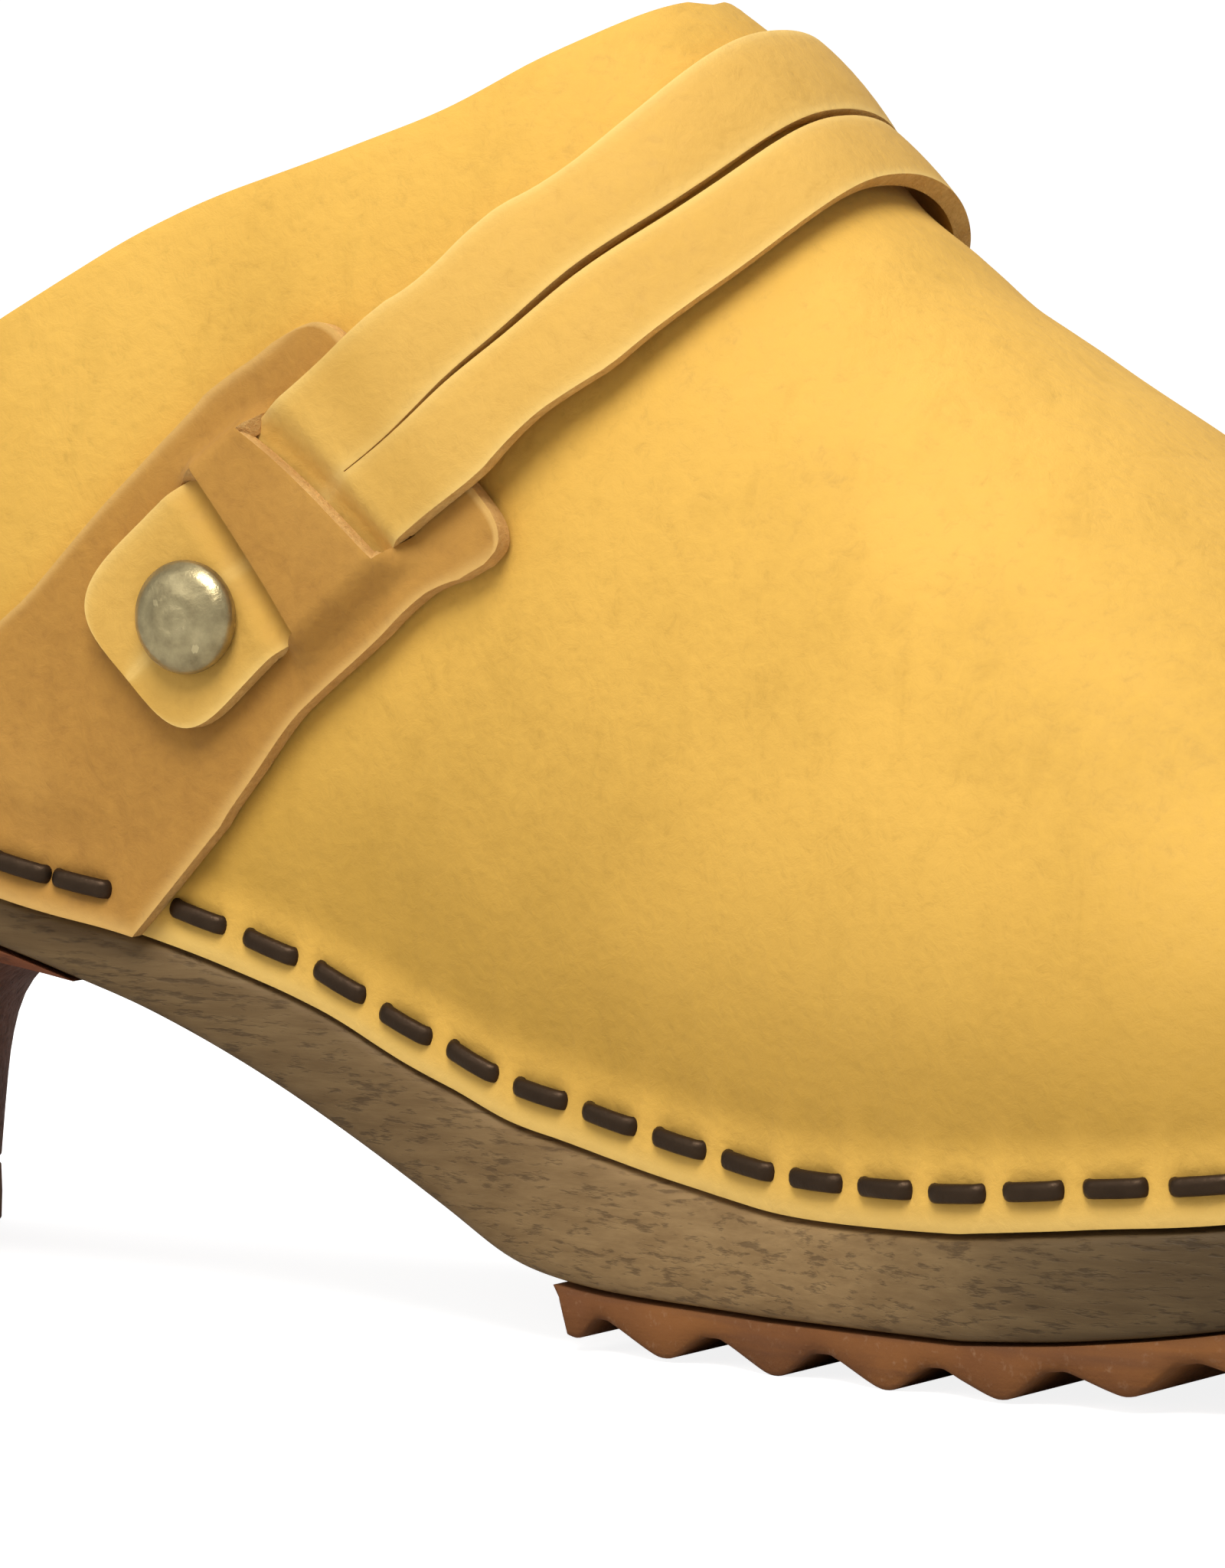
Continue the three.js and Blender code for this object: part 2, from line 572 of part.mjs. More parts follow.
const SLIT_START = 21.1; // from the rivet to the slit
const STRAP_REST = 1.6 * GAP; // lift of the strap where it lies on the upper

// The strap's underside above the skin at s from the rivet.
function strapLift(s) {
  const near = Math.min(s, 2 * STRAP_MIDDLE - s);
  const under = smoothstep(near, BRIDGE_START - SLOT + 1.3, BRIDGE_START - 0.2)
    * (1 - smoothstep(near, BRIDGE_END + 0.2, BRIDGE_END + SLOT - 1.3));
  const past = smoothstep(near, TAB_END + 2.2, TAB_END + 7);
  return STRAP_REST + (OVER_TAB - STRAP_REST) * (1 - Math.max(under, past));
}

// A slab along the strap between two edges and two lifts, all given as functions of s.
function strapLength(places, left, right, low, high, cells) {
  const row = (s, lift) => spread(right(s), left(s), cells).map((w) => onStrap(s, w, lift(s)));
  const grid = (lift) => places.map((s) => row(s, lift));
  return slab(grid(high), grid(low));
}

function strap() {
  const end = 2 * STRAP_MIDDLE;
  const half = STRAP_WIDTH / 2;
  const width = (s) => {
    const back = Math.max(-Math.min(s, end - s), 0);
    return Math.sqrt(Math.max(half * half - back * back, 1));
  };
  const mirror = (list) => list.map((s) => end - s).reverse();
  const start = [...spread(0, 1, 6).map((u) => -half * Math.cos((u * Math.PI) / 2)),
    ...spread(BRIDGE_START - SLOT + 0.5, TAB_END + 7, 22)];
  const over = spread(TAB_END + 10, end - TAB_END - 10, 26);
  let body = strapLength([...start, ...over, ...mirror(start)], (s) => -width(s), width, strapLift,
    (s) => strapLift(s) + STRAP_LEATHER, 6);
  const cut = spread(SLIT_START, end - SLIT_START, 60);
  const opened = (s) => smoothstep(Math.min(s, end - s), SLIT_START, SLIT_START + 20);
  const slit = (s) => 0.2 + (SLIT_WIDTH / 2 - 0.2) * opened(s);
  body = body.subtract(strapLength(cut, (s) => -slit(s), slit, (s) => strapLift(s) - 1,
    (s) => strapLift(s) + STRAP_LEATHER + 1, 1));
  for (const side of [1, -1]) body = body.subtract(rivetHole(side));
  return body;
}

// ---- Rivets ----

const POST_RADIUS = 1.5;
const CAP_SEAT = OVER_TAB + STRAP_LEATHER + GAP; // lift of the cap's underside
const CAP_HEIGHT = 2.9;
const FLANGE = 1; // thickness of the post's flange inside the upper

// The rivet's place on a side and its outward direction.
function rivetAxis(side) {
  const angle = side < 0 ? RIVET_ANGLE : Math.PI - RIVET_ANGLE;
  return { foot: skin(RIVET_X, angle), axis: slopes(RIVET_X, angle).normal };
}

function rivetHole(side) {
  const { foot, axis } = rivetAxis(side);
  const radius = POST_RADIUS + GAP;
  return turned([[0, -8], [radius, -8], [radius, CAP_SEAT + 4], [0, CAP_SEAT + 4]], foot, axis, 16);
}

function rivetCap(side) {
  const { foot, axis } = rivetAxis(side);
  const radius = RIVET_DIAMETER / 2;
  const socket = POST_RADIUS + GAP;
  const dome = spread(0, 1, 5).map((u) => [radius * Math.cos((u * Math.PI) / 2) ** 0.8,
    0.9 + (CAP_HEIGHT - 0.9) * Math.sin((u * Math.PI) / 2)]);
  dome[dome.length - 1][0] = 0;
  const profile = [[0, 1.5], [socket, 1.5], [socket, 0], [radius - 0.3, 0], ...dome];
  return turned(profile.map(([r, h]) => [r, h + CAP_SEAT]), foot, axis, 24);
}

function rivetPost(side) {
  const { foot, axis } = rivetAxis(side);
  const top = -UPPER_LEATHER - GAP;
  const profile = [[0, top - FLANGE], [4.2, top - FLANGE], [4.6, top], [POST_RADIUS, top],
    [POST_RADIUS, CAP_SEAT + 1.2], [0, CAP_SEAT + 1.2]];
  return turned(profile, foot, axis, 20);
}

// ---- Staples ----

// A point of the staple row on the outer side.
function stapleRow(x, lift) {
  const rise = (STAPLE_HEIGHT / (ridge(ribTop(x)) - feather(x))) ** (squareness(x / LENGTH) / 2);
  return lifted(x, Math.asin(rise), lift);
}

// Evenly spaced x positions along the staple row.
function spaced(x0, x1, count) {
  const fine = stations(x0, x1, 400);
  const lengths = [0];
  for (let i = 1; i < fine.length; i++) {
    lengths.push(lengths[i - 1] + stapleRow(fine[i], 0).distanceTo(stapleRow(fine[i - 1], 0)));
  }
  return spread(0, lengths[lengths.length - 1], count - 1).map(
    (target) => fine[Math.max(lengths.findIndex((length) => length >= target - 1e-6), 0)]);
}

// One staple's crown, lying on the leather.
function staple(x) {
  const onTab = x < TAB_FOOT[1] * LENGTH && x > TAB_FOOT[0] * LENGTH;
  const lift = GAP + (onTab ? GAP + TAB_LEATHER : 0);
  const half = STAPLE_CROWN / 2;
  const shape = new THREE.Shape([[-half, 0], [half, 0], [half, 0.6], [half - 0.7, STAPLE_PROUD],
    [0.7 - half, STAPLE_PROUD], [-half, 0.6]].map(([u, v]) => new THREE.Vector2(u, v)));
  const geometry = new THREE.ExtrudeGeometry(shape, { depth: STAPLE_WIRE, bevelEnabled: false });
  geometry.translate(0, 0, -STAPLE_WIRE / 2);
  const back = Math.max(x - 1, 1);
  const front = Math.min(x + 1, LENGTH - 0.7);
  const along = stapleRow(Math.max(front, back + 0.2), 0).sub(stapleRow(back, 0)).normalize();
  const out = slopes(x, 0.05).normal;
  out.addScaledVector(along, -out.dot(along)).normalize();
  const place = new THREE.Matrix4().makeBasis(along, out, along.clone().cross(out));
  place.setPosition(stapleRow(x, lift));
  return geometry.applyMatrix4(place);
}

// ---- The assembly ----

const finish = (color, roughness, metalness = 0) =>
  new THREE.MeshStandardMaterial({ color, roughness, metalness });
const upperLeather = finish(0xe0b04f, 0.85);
const tabLeather = finish(0xc8964b, 0.8);
const strapLeather = finish(0xe8b85a, 0.85);
const stainedWood = finish(0x7a6047, 0.7);
const heelWood = finish(0x6e4330, 0.6);
const rubber = finish(0x784b32, 0.85);
const antiqueBrass = finish(0x8f8055, 0.4, 0.9);
const bronzeWire = finish(0x3a2c1e, 0.45, 0.8);
const steel = finish(0x9a9a98, 0.4, 0.9);

const clog = new THREE.Group();

function place(name, geometry, material) {
  const mesh = new THREE.Mesh(geometry, material);
  mesh.name = name;
  clog.add(mesh);
}

place("wooden_sole", geometryOf(woodenSole()), stainedWood);
place("heel_block", geometryOf(heelBlock()), heelWood);
place("heel_top_piece", geometryOf(heelTopPiece()), rubber);
place("front_outsole", geometryOf(frontOutsole()), rubber);
SCREWS.forEach((x, i) => place("heel_screw_" + (i + 1), geometryOf(heelScrew(x)), steel));
place("upper", geometryOf(upper()), upperLeather);
place("outer_tab", geometryOf(tab(-1)), tabLeather);
place("inner_tab", geometryOf(tab(1)), tabLeather);
place("strap", geometryOf(strap()), strapLeather);
for (const [name, side] of [["outer", -1], ["inner", 1]]) {
  place(name + "_rivet_cap", geometryOf(rivetCap(side)), antiqueBrass);
  place(name + "_rivet_post", geometryOf(rivetPost(side)), antiqueBrass);
}

// The staple row stops short of the tab's front edge and starts again past it.
const rowBreak = TAB_FOOT[1] * LENGTH;
const [edgeX, edgeZ] = seenFromSide([[TAB_EDGE_LOW, TAB_FRONT + 0.4]])[0];
const climb = STAPLE_HEIGHT / (edgeZ - feather(rowBreak) + 1);
const pastTab = rowBreak + (edgeX - rowBreak) * climb + STAPLE_CROWN / 2;
const staplePlaces = [...spaced(LEATHER_START + 7.5, rowBreak - 5.5, STAPLES_BEHIND),
  ...spaced(pastTab + 0.45, LENGTH - 0.8, STAPLES_AHEAD)];
staplePlaces.forEach((x, i) => place("staple_" + String(i + 1).padStart(2, "0"), staple(x), bronzeWire));

// The origin is on the ground under the middle of the whole clog.
const bounds = new THREE.Box3().setFromObject(clog, true);
clog.position.set(-(bounds.min.x + bounds.max.x) / 2, -(bounds.min.y + bounds.max.y) / 2, -bounds.min.z);

export default clog;
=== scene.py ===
import math

import bmesh
import bpy
import numpy as np
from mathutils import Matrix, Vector


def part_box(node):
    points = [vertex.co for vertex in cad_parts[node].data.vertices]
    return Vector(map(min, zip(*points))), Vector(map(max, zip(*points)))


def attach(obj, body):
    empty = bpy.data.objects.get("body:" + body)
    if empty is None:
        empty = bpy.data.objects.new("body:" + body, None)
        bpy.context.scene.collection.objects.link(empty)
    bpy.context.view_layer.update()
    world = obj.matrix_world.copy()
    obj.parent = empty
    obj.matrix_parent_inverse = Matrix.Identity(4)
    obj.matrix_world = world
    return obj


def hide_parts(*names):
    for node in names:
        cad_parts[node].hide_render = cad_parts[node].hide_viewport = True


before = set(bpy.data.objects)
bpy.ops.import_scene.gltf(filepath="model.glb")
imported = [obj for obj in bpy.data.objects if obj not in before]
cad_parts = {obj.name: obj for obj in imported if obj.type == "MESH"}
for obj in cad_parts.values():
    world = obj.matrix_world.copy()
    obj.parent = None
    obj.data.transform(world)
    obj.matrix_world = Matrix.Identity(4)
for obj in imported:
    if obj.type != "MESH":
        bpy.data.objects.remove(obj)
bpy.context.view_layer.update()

# ---- Studio ----
# A long-lens view of the outer side, a little from the front, on a pale floor under soft light.

sole_low, sole_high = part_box("wooden_sole")
LENGTH = sole_high[0] - sole_low[0]

AZIMUTH = math.radians(30)
ELEVATION = math.radians(5)
VIEW_DISTANCE = 1.1
VIEW_HEIGHT = 0.1463
LOOK_AT = Vector((sole_low[0] + 0.4 * LENGTH, (sole_low[1] + sole_high[1]) / 2 - 0.001, 0.0484))


def add_camera():
    data = bpy.data.cameras.new("camera")
    data.sensor_width = 36
    data.lens = data.sensor_width * VIEW_DISTANCE / VIEW_HEIGHT
    data.clip_start = 0.01
    data.clip_end = 100
    camera = bpy.data.objects.new("camera", data)
    bpy.context.scene.collection.objects.link(camera)
    towards = Vector((
        math.sin(AZIMUTH) * math.cos(ELEVATION),
        -math.cos(AZIMUTH) * math.cos(ELEVATION),
        math.sin(ELEVATION),
    ))
    camera.location = LOOK_AT + VIEW_DISTANCE * towards
    camera.rotation_euler = towards.to_track_quat("Z", "Y").to_euler()
    bpy.context.scene.camera = camera


add_camera()


def add_light(name, azimuth, elevation, distance, size, power, color=(1, 1, 1)):
    data = bpy.data.lights.new(name, "AREA")
    data.shape = "DISK"
    data.size = size
    data.energy = power
    data.color = color
    lamp = bpy.data.objects.new(name, data)
    bpy.context.scene.collection.objects.link(lamp)
    a, e = math.radians(azimuth), math.radians(elevation)
    towards = Vector((math.sin(a) * math.cos(e), -math.cos(a) * math.cos(e), math.sin(e)))
    lamp.location = LOOK_AT + distance * towards
    lamp.rotation_euler = towards.to_track_quat("Z", "Y").to_euler()


add_light("key", 18, 54, 1.0, 0.6, 10, (1.0, 0.985, 0.95))
add_light("fill", -30, 25, 1.4, 1.0, 3, (1.0, 0.99, 0.97))
add_light("top", 180, 72, 1.1, 0.8, 2.5)


def add_studio():
    world = bpy.data.worlds.new("studio")
    world.use_nodes = True
    background = world.node_tree.nodes["Background"]
    background.inputs["Color"].default_value = (1, 1, 1, 1)
    seen = world.node_tree.nodes.new("ShaderNodeLightPath")
    level = world.node_tree.nodes.new("ShaderNodeMapRange")
    level.inputs["To Min"].default_value = 0.36
    level.inputs["To Max"].default_value = 1.0
    world.node_tree.links.new(seen.outputs["Is Camera Ray"], level.inputs["Value"])
    world.node_tree.links.new(level.outputs["Result"], background.inputs["Strength"])
    bpy.context.scene.world = world
    bpy.context.scene.view_settings.view_transform = "Standard"
    # The paper glows a little only to the eye, so that it stays pale without lighting the clog.
    paper = bpy.data.materials.new("paper_floor")
    paper.use_nodes = True
    shader = paper.node_tree.nodes["Principled BSDF"]
    shader.inputs["Base Color"].default_value = (0.55, 0.55, 0.55, 1)
    shader.inputs["Roughness"].default_value = 0.9
    shader.inputs["Emission Color"].default_value = (1, 1, 1, 1)
    seen = paper.node_tree.nodes.new("ShaderNodeLightPath")
    glow = paper.node_tree.nodes.new("ShaderNodeMath")
    glow.operation = "MULTIPLY"
    glow.inputs[1].default_value = 0.86
    paper.node_tree.links.new(seen.outputs["Is Camera Ray"], glow.inputs[0])
    paper.node_tree.links.new(glow.outputs[0], shader.inputs["Emission Strength"])
    mesh = bpy.data.meshes.new("floor")
    bm = bmesh.new()
    bmesh.ops.create_circle(bm, cap_ends=True, segments=96, radius=40)
    bm.to_mesh(mesh)
    bm.free()
    mesh.materials.append(paper)
    floor = bpy.data.objects.new("floor", mesh)
    bpy.context.scene.collection.objects.link(floor)


add_studio()

# ---- Wooden sole ----
# One carved block of pale wood, stained grey brown. Its upper edge is cut back into a rebate that
# takes the leather, and the footbed is hollowed inside a rounded rim.


def through(*pairs):
    """A smooth function through (value, result) pairs, held flat past both ends."""
    xs = np.array([p[0] for p in pairs], float)
    ys = np.array([p[1] for p in pairs], float)
    slopes = np.empty(len(xs))
    slopes[1:-1] = (ys[2:] - ys[:-2]) / (xs[2:] - xs[:-2])
    slopes[0] = (ys[1] - ys[0]) / (xs[1] - xs[0])
    slopes[-1] = (ys[-1] - ys[-2]) / (xs[-1] - xs[-2])

    def result(value):
        v = np.clip(np.asarray(value, float), xs[0], xs[-1])
        i = np.clip(np.searchsorted(xs, v) - 1, 0, len(xs) - 2)
        h = xs[i + 1] - xs[i]
        t = (v - xs[i]) / h
        s = 1 - t
        return (
            (1 + 2 * t) * s * s * ys[i]
            + t * s * s * h * slopes[i]
            + t * t * (3 - 2 * t) * ys[i + 1]
            - t * t * s * h * slopes[i + 1]
        )

    return result


HEEL_LIFT = 0.0413
BALL_LIFT = 0.005
TOE_SPRING = 0.017
REBATE_HEIGHT = 0.0105

half_width = through((0, 0.0305), (0.15, 0.0315), (0.33, 0.0285), (0.5, 0.0345), (0.7, 0.0465), (1, 0.04185))
centre = through((0, 0), (0.15, 0), (0.33, -0.0025), (0.5, -0.0025), (0.7, 0), (0.85, 0.0025), (1, 0.005))
heel_rise = through(
    (0, 1), (0.1, 0.92), (0.18, 0.827), (0.21, 0.77), (0.238, 0.709), (0.27, 0.635), (0.313, 0.508),
    (0.357, 0.357), (0.405, 0.18), (0.429, 0.088), (0.448, 0.047), (0.48, 0.018), (0.55, 0),
)
toe_rise = through((0.64, 0), (0.69, 0.06), (0.75, 0.18), (0.83, 0.43), (0.92, 0.71), (1, 1))
edge_band = through(
    (0, 0.006), (0.21, 0.0054), (0.26, 0.0068), (0.31, 0.0086), (0.35, 0.0102), (0.385, 0.0109),
    (0.425, 0.0127), (0.45, 0.0131), (0.47, 0.0128), (0.515, 0.0111), (0.56, 0.0097), (0.6, 0.0095),
    (0.69, 0.01), (0.75, 0.0094), (1, 0.0076),
)
HEEL_ROUND = 0.15
TOE_ROUND = 0.7


def reach(x):
    """Half the plan width at x from the heel back."""
    t = np.clip(np.asarray(x, float) / LENGTH, 0, 1)
    heel = np.maximum(1 - t / HEEL_ROUND, 0)
    toe = np.maximum((t - TOE_ROUND) / (1 - TOE_ROUND), 0)
    heel_end = np.maximum(1 - heel**2.2, 0) ** (1 / 2.2)
    return half_width(t) * heel_end * np.maximum(1 - toe**2.25, 0) ** (1 / 2.25)


def middle(x):
    return centre(np.asarray(x) / LENGTH)


def wood_bottom(x):
    t = np.asarray(x) / LENGTH
    return BALL_LIFT + (HEEL_LIFT - BALL_LIFT) * heel_rise(t) + TOE_SPRING * toe_rise(t)


def feather(x):
    """Height of the ledge where the leather ends and the bare wood begins."""
    return wood_bottom(x) + edge_band(np.asarray(x) / LENGTH)


def rim(x):
    return feather(x) + REBATE_HEIGHT


def stations(start, stop, count):
    """Places along the shoe, closer together round the heel and the toe."""
    a = math.acos(1 - 2 * start / LENGTH)
    b = math.acos(1 - 2 * stop / LENGTH)
    return (1 - np.cos(np.linspace(a, b, count + 1))) * LENGTH / 2


# The shapes below are worked out from the heel back, and these two bring them into the frame.
HEEL_BACK = sole_low[0]
SIDEWAYS = sole_low[1] - float(np.min(middle(stations(0, LENGTH, 400)) - reach(stations(0, LENGTH, 400))))
SHIFT = np.array([HEEL_BACK, SIDEWAYS, 0.0])


def smooth(value, low, high):
    t = np.clip((np.asarray(value, float) - low) / (high - low), 0, 1)
    return t * t * (3 - 2 * t)


def make_piece(name, points, faces, materials, attributes=None):
    """A smooth-shaded object from points in the clog's own lines, with any point attributes."""
    mesh = bpy.data.meshes.new(name)
    mesh.from_pydata((np.asarray(points) + SHIFT).tolist(), [], [list(map(int, f)) for f in faces])
    for key, values in (attributes or {}).items():
        mesh.attributes.new(key, "FLOAT", "POINT").data.foreach_set("value", np.asarray(values, np.float32))
    bm = bmesh.new()
    bm.from_mesh(mesh)
    bmesh.ops.remove_doubles(bm, verts=bm.verts, dist=2e-6)
    bmesh.ops.dissolve_degenerate(bm, edges=bm.edges, dist=1e-7)
    bm.to_mesh(mesh)
    bm.free()
    mesh.polygons.foreach_set("use_smooth", [True] * len(mesh.polygons))
    for material in materials:
        mesh.materials.append(material)
    piece = bpy.data.objects.new(name, mesh)
    bpy.context.scene.collection.objects.link(piece)
    return piece


def grid_faces(rows, columns, missing=None, loop=False):
    """Quads over a grid of points, left out where missing is true."""
    i, j = np.meshgrid(np.arange(rows - 1), np.arange(columns if loop else columns - 1), indexing="ij")
    k = (j + 1) % columns
    quads = np.stack([i * columns + j, (i + 1) * columns + j, (i + 1) * columns + k, i * columns + k], -1)
    return quads[~missing] if missing is not None else quads.reshape(-1, 4)


def finish_edges(piece, thickness=0.0, rim_material=0, width=0.0004, segments=3, angle=50):
    """Gives a sheet its thickness inwards, and any piece its softened edges."""
    if thickness:
        wall = piece.modifiers.new("wall", "SOLIDIFY")
        wall.thickness = thickness
        wall.offset = -1
        wall.material_offset_rim = rim_material
    soft = piece.modifiers.new("soft_edges", "BEVEL")
    soft.width = width
    soft.segments = segments
    soft.limit_method = "ANGLE"
    soft.angle_limit = math.radians(angle)
    soft.harden_normals = False


def new_group(name, inputs, outputs):
    group = bpy.data.node_groups.new(name, "ShaderNodeTree")
    for label, value in inputs:
        socket = group.interface.new_socket(label, in_out="INPUT", socket_type="NodeSocketFloat")
        socket.default_value = value
    for label in outputs:
        group.interface.new_socket(label, in_out="OUTPUT", socket_type="NodeSocketFloat")
    return group


def add_node(tree, kind, values=None, **settings):
    node = tree.nodes.new(kind)
    for key, value in settings.items():
        setattr(node, key, value)
    for key, value in (values or {}).items():
        if isinstance(value, bpy.types.NodeSocket):
            tree.links.new(value, node.inputs[key])
        else:
            node.inputs[key].default_value = value
    return node


def maths(tree, operation, a, b=0.0, clamp=False):
    return add_node(tree, "ShaderNodeMath", {0: a, 1: b}, operation=operation, use_clamp=clamp).outputs[0]


def mapped(tree, scale, place=(0, 0, 0)):
    """Object coordinates, stretched along each axis."""
    where = add_node(tree, "ShaderNodeTexCoord").outputs["Object"]
    values = {"Vector": where, "Scale": scale, "Location": place}
    return add_node(tree, "ShaderNodeMapping", values).outputs[0]


def noise(tree, vector, scale, detail=4.0, roughness=0.55, distortion=0.0):
    values = {"Vector": vector, "Scale": scale, "Detail": detail, "Roughness": roughness,
              "Distortion": distortion}
    return add_node(tree, "ShaderNodeTexNoise", values).outputs["Fac"]


def ramp(tree, factor, *stops):
    """A colour ramp from (position, colour) stops; a plain number is a grey."""
    node = add_node(tree, "ShaderNodeValToRGB", {"Fac": factor})
    band = node.color_ramp
    for n, (position, color) in enumerate(stops):
        stop = band.elements[n] if n < 2 else band.elements.new(position)
        stop.position = position
        stop.color = (color,) * 3 + (1,) if isinstance(color, (int, float)) else (*color, 1)
    return node.outputs["Color"]


def mix(tree, factor, a, b, blend="MIX"):
    node = tree.nodes.new("ShaderNodeMix")
    node.data_type = "RGBA"
    node.blend_type = blend
    for socket, value in ((node.inputs[0], factor), (node.inputs[6], a), (node.inputs[7], b)):
        if isinstance(value, bpy.types.NodeSocket):
            tree.links.new(value, socket)
        elif isinstance(value, tuple):
            socket.default_value = (*value, 1) if len(value) == 3 else value
        else:
            socket.default_value = value
    return node.outputs[2]


def bump(tree, height, strength, distance, normal=None):
    values = {"Height": height, "Strength": strength, "Distance": distance}
    if normal is not None:
        values["Normal"] = normal
    return add_node(tree, "ShaderNodeBump", values).outputs["Normal"]


def point_value(tree, name):
    return add_node(tree, "ShaderNodeAttribute", attribute_name=name).outputs["Fac"]


def shaded(name, specular=0.5):
    """A new material: its tree and its Principled shader."""
    material = bpy.data.materials.new(name)
    material.use_nodes = True
    shader = material.node_tree.nodes["Principled BSDF"]
    shader.inputs["Specular IOR Level"].default_value = specular
    return material, material.node_tree, shader


def wire(tree, shader, color, roughness, normal):
    for key, socket in (("Base Color", color), ("Roughness", roughness), ("Normal", normal)):
        tree.links.new(socket, shader.inputs[key])


def grain_group():
    """Wood grain along X: broad figure, fine fibres and short dark pores."""
    group = new_group("wood_grain", [("Fineness", 1.0)], ["Figure", "Fibre", "Pores"])
    inner = group.nodes.new("NodeGroupInput")
    outer = group.nodes.new("NodeGroupOutput")
    long_fibre = mapped(group, (6, 55, 55))
    figure = noise(group, mapped(group, (5, 26, 40)), 1.5, 3, 0.5, 1.2)
    fibre = noise(group, long_fibre, maths(group, "MULTIPLY", inner.outputs["Fineness"], 14), 5, 0.65, 0.2)
    pores = noise(group, mapped(group, (300, 1500, 1500)), 1.0, 3, 0.6)
    dark = ramp(group, pores, (0.53, 0.0), (0.66, 1.0))
    group.links.new(figure, outer.inputs["Figure"])
    group.links.new(fibre, outer.inputs["Fibre"])
    group.links.new(dark, outer.inputs["Pores"])
    return group


wood_grain = grain_group()


def wood_material(name, pale, dark, pore, roughness, *painted_shade_stops):
    """Stained wood, with painted shade along the sole: the last arguments are [share of the sole's length,
    brightness] pairs.
    """
    material, tree, shader = shaded(name, 0.2)
    grain = tree.nodes.new("ShaderNodeGroup")
    grain.node_tree = wood_grain
    grain.inputs["Fineness"].default_value = 1.0
    figure, fibre, pores = (grain.outputs[k] for k in ("Figure", "Fibre", "Pores"))
    base = ramp(tree, figure, (0.2, dark), (0.8, pale))
    streaks = mix(tree, ramp(tree, fibre, (0.35, 0.0), (0.65, 0.75)), base, dark, "MULTIPLY")
    color = mix(tree, maths(tree, "MULTIPLY", pores, 0.55), mix(tree, 0.45, base, streaks), pore)
    if painted_shade_stops:
        # Painted shade: the colour is multiplied down by brightness along the sole's length.
        share = mapped(tree, (1 / LENGTH, 1, 1), (0.503, 0, 0))
        along = add_node(tree, "ShaderNodeSeparateXYZ", {"Vector": share}).outputs["X"]
        color = mix(tree, 1.0, color, ramp(tree, along, *painted_shade_stops), "MULTIPLY")
    shine = ramp(tree, fibre, (0.3, roughness - 0.1), (0.7, roughness + 0.1))
    height = maths(tree, "SUBTRACT", maths(tree, "MULTIPLY", fibre, 0.5), maths(tree, "MULTIPLY", pores, 0.6))
    wire(tree, shader, color, shine, bump(tree, height, 0.35, 0.0004))
    return material


# The brightness pairs are painted shade: darker behind the ball, and much darker towards the toe, where the
# sole's side turns away from the light.
stained_wood = wood_material(
    "stained_wood", (0.36, 0.23, 0.1), (0.24, 0.145, 0.06), (0.08, 0.045, 0.02), 0.55,
    (0.2, 0.5), (0.36, 0.54), (0.5, 0.9), (0.58, 0.9), (0.67, 0.4), (0.8, 0.2),
)

LEATHER_START = 0.063 * LENGTH
UPPER_LEATHER = 0.0019
REBATE_DEPTH = UPPER_LEATHER + 0.0003
DISH = 0.003
SPINE_END = 0.022


def rebate(x):
    return REBATE_DEPTH * smooth(x, LEATHER_START - 0.006, LEATHER_START - 0.001)


def sole_loop(xs, inset, height):
    """The plan outline round the sole, moved inwards, at heights given from x."""
    near = np.stack([xs, middle(xs) - reach(xs)], -1)
    far = np.stack([xs, middle(xs) + reach(xs)], -1)[1:-1][::-1]
    loop = np.concatenate([near, far])
    along = np.roll(loop, -1, 0) - np.roll(loop, 1, 0)
    along /= np.linalg.norm(along, axis=1, keepdims=True)
    inwards = np.stack([-along[:, 1], along[:, 0]], -1)
    moved = loop + inwards * np.broadcast_to(inset(loop[:, 0]), len(loop))[:, None]
    return np.column_stack([moved, height(moved[:, 0])])


def sole_spine(xs, height):
    along = SPINE_END + xs * (LENGTH - 2 * SPINE_END) / LENGTH
    line = np.column_stack([along, middle(along), height(along)])
    return np.concatenate([line, line[1:-1][::-1]])


def make_sole():
    xs = stations(0, LENGTH, 200)
    level = lambda value: (lambda x: value + 0 * x)
    cut_back = lambda extra: (lambda x: rebate(x) + extra)
    soft = 0.0011
    loops = [
        sole_spine(xs, wood_bottom),
        sole_loop(xs, level(0.014), wood_bottom),
        sole_loop(xs, level(0.004), wood_bottom),
        sole_loop(xs, level(soft), wood_bottom),
        sole_loop(xs, level(0.3 * soft), lambda x: wood_bottom(x) + 0.3 * soft),
        sole_loop(xs, level(0), lambda x: wood_bottom(x) + soft),
        sole_loop(xs, level(-0.0002), lambda x: (wood_bottom(x) + feather(x)) / 2),
        sole_loop(xs, level(0), lambda x: feather(x) - 0.0009),
        sole_loop(xs, level(0.0004), lambda x: feather(x) - 0.0004),
        sole_loop(xs, cut_back(0.0004), lambda x: feather(x) - 0.0004),
        sole_loop(xs, cut_back(0.0004), lambda x: rim(x) - 0.004),
        sole_loop(xs, cut_back(0.0006), lambda x: rim(x) - 0.002),
        sole_loop(xs, cut_back(0.0016), lambda x: rim(x) - 0.0005),
        sole_loop(xs, cut_back(0.003), rim),
        sole_loop(xs, cut_back(0.005), lambda x: rim(x) - 0.0004),
        sole_loop(xs, cut_back(0.009), lambda x: rim(x) - 0.0016),
        sole_loop(xs, cut_back(0.014), lambda x: rim(x) - 0.9 * DISH),
        sole_spine(xs, lambda x: rim(x) - DISH),
    ]
    points = np.stack(loops)
    faces = grid_faces(points.shape[0], points.shape[1], loop=True)[:, ::-1]
    piece = make_piece("carved_sole", points.reshape(-1, 3), faces, [stained_wood])
    smoother = piece.modifiers.new("carved", "SUBSURF")
    smoother.levels = 1
    smoother.render_levels = 1
    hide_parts("wooden_sole")
    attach(piece, "root")


make_sole()
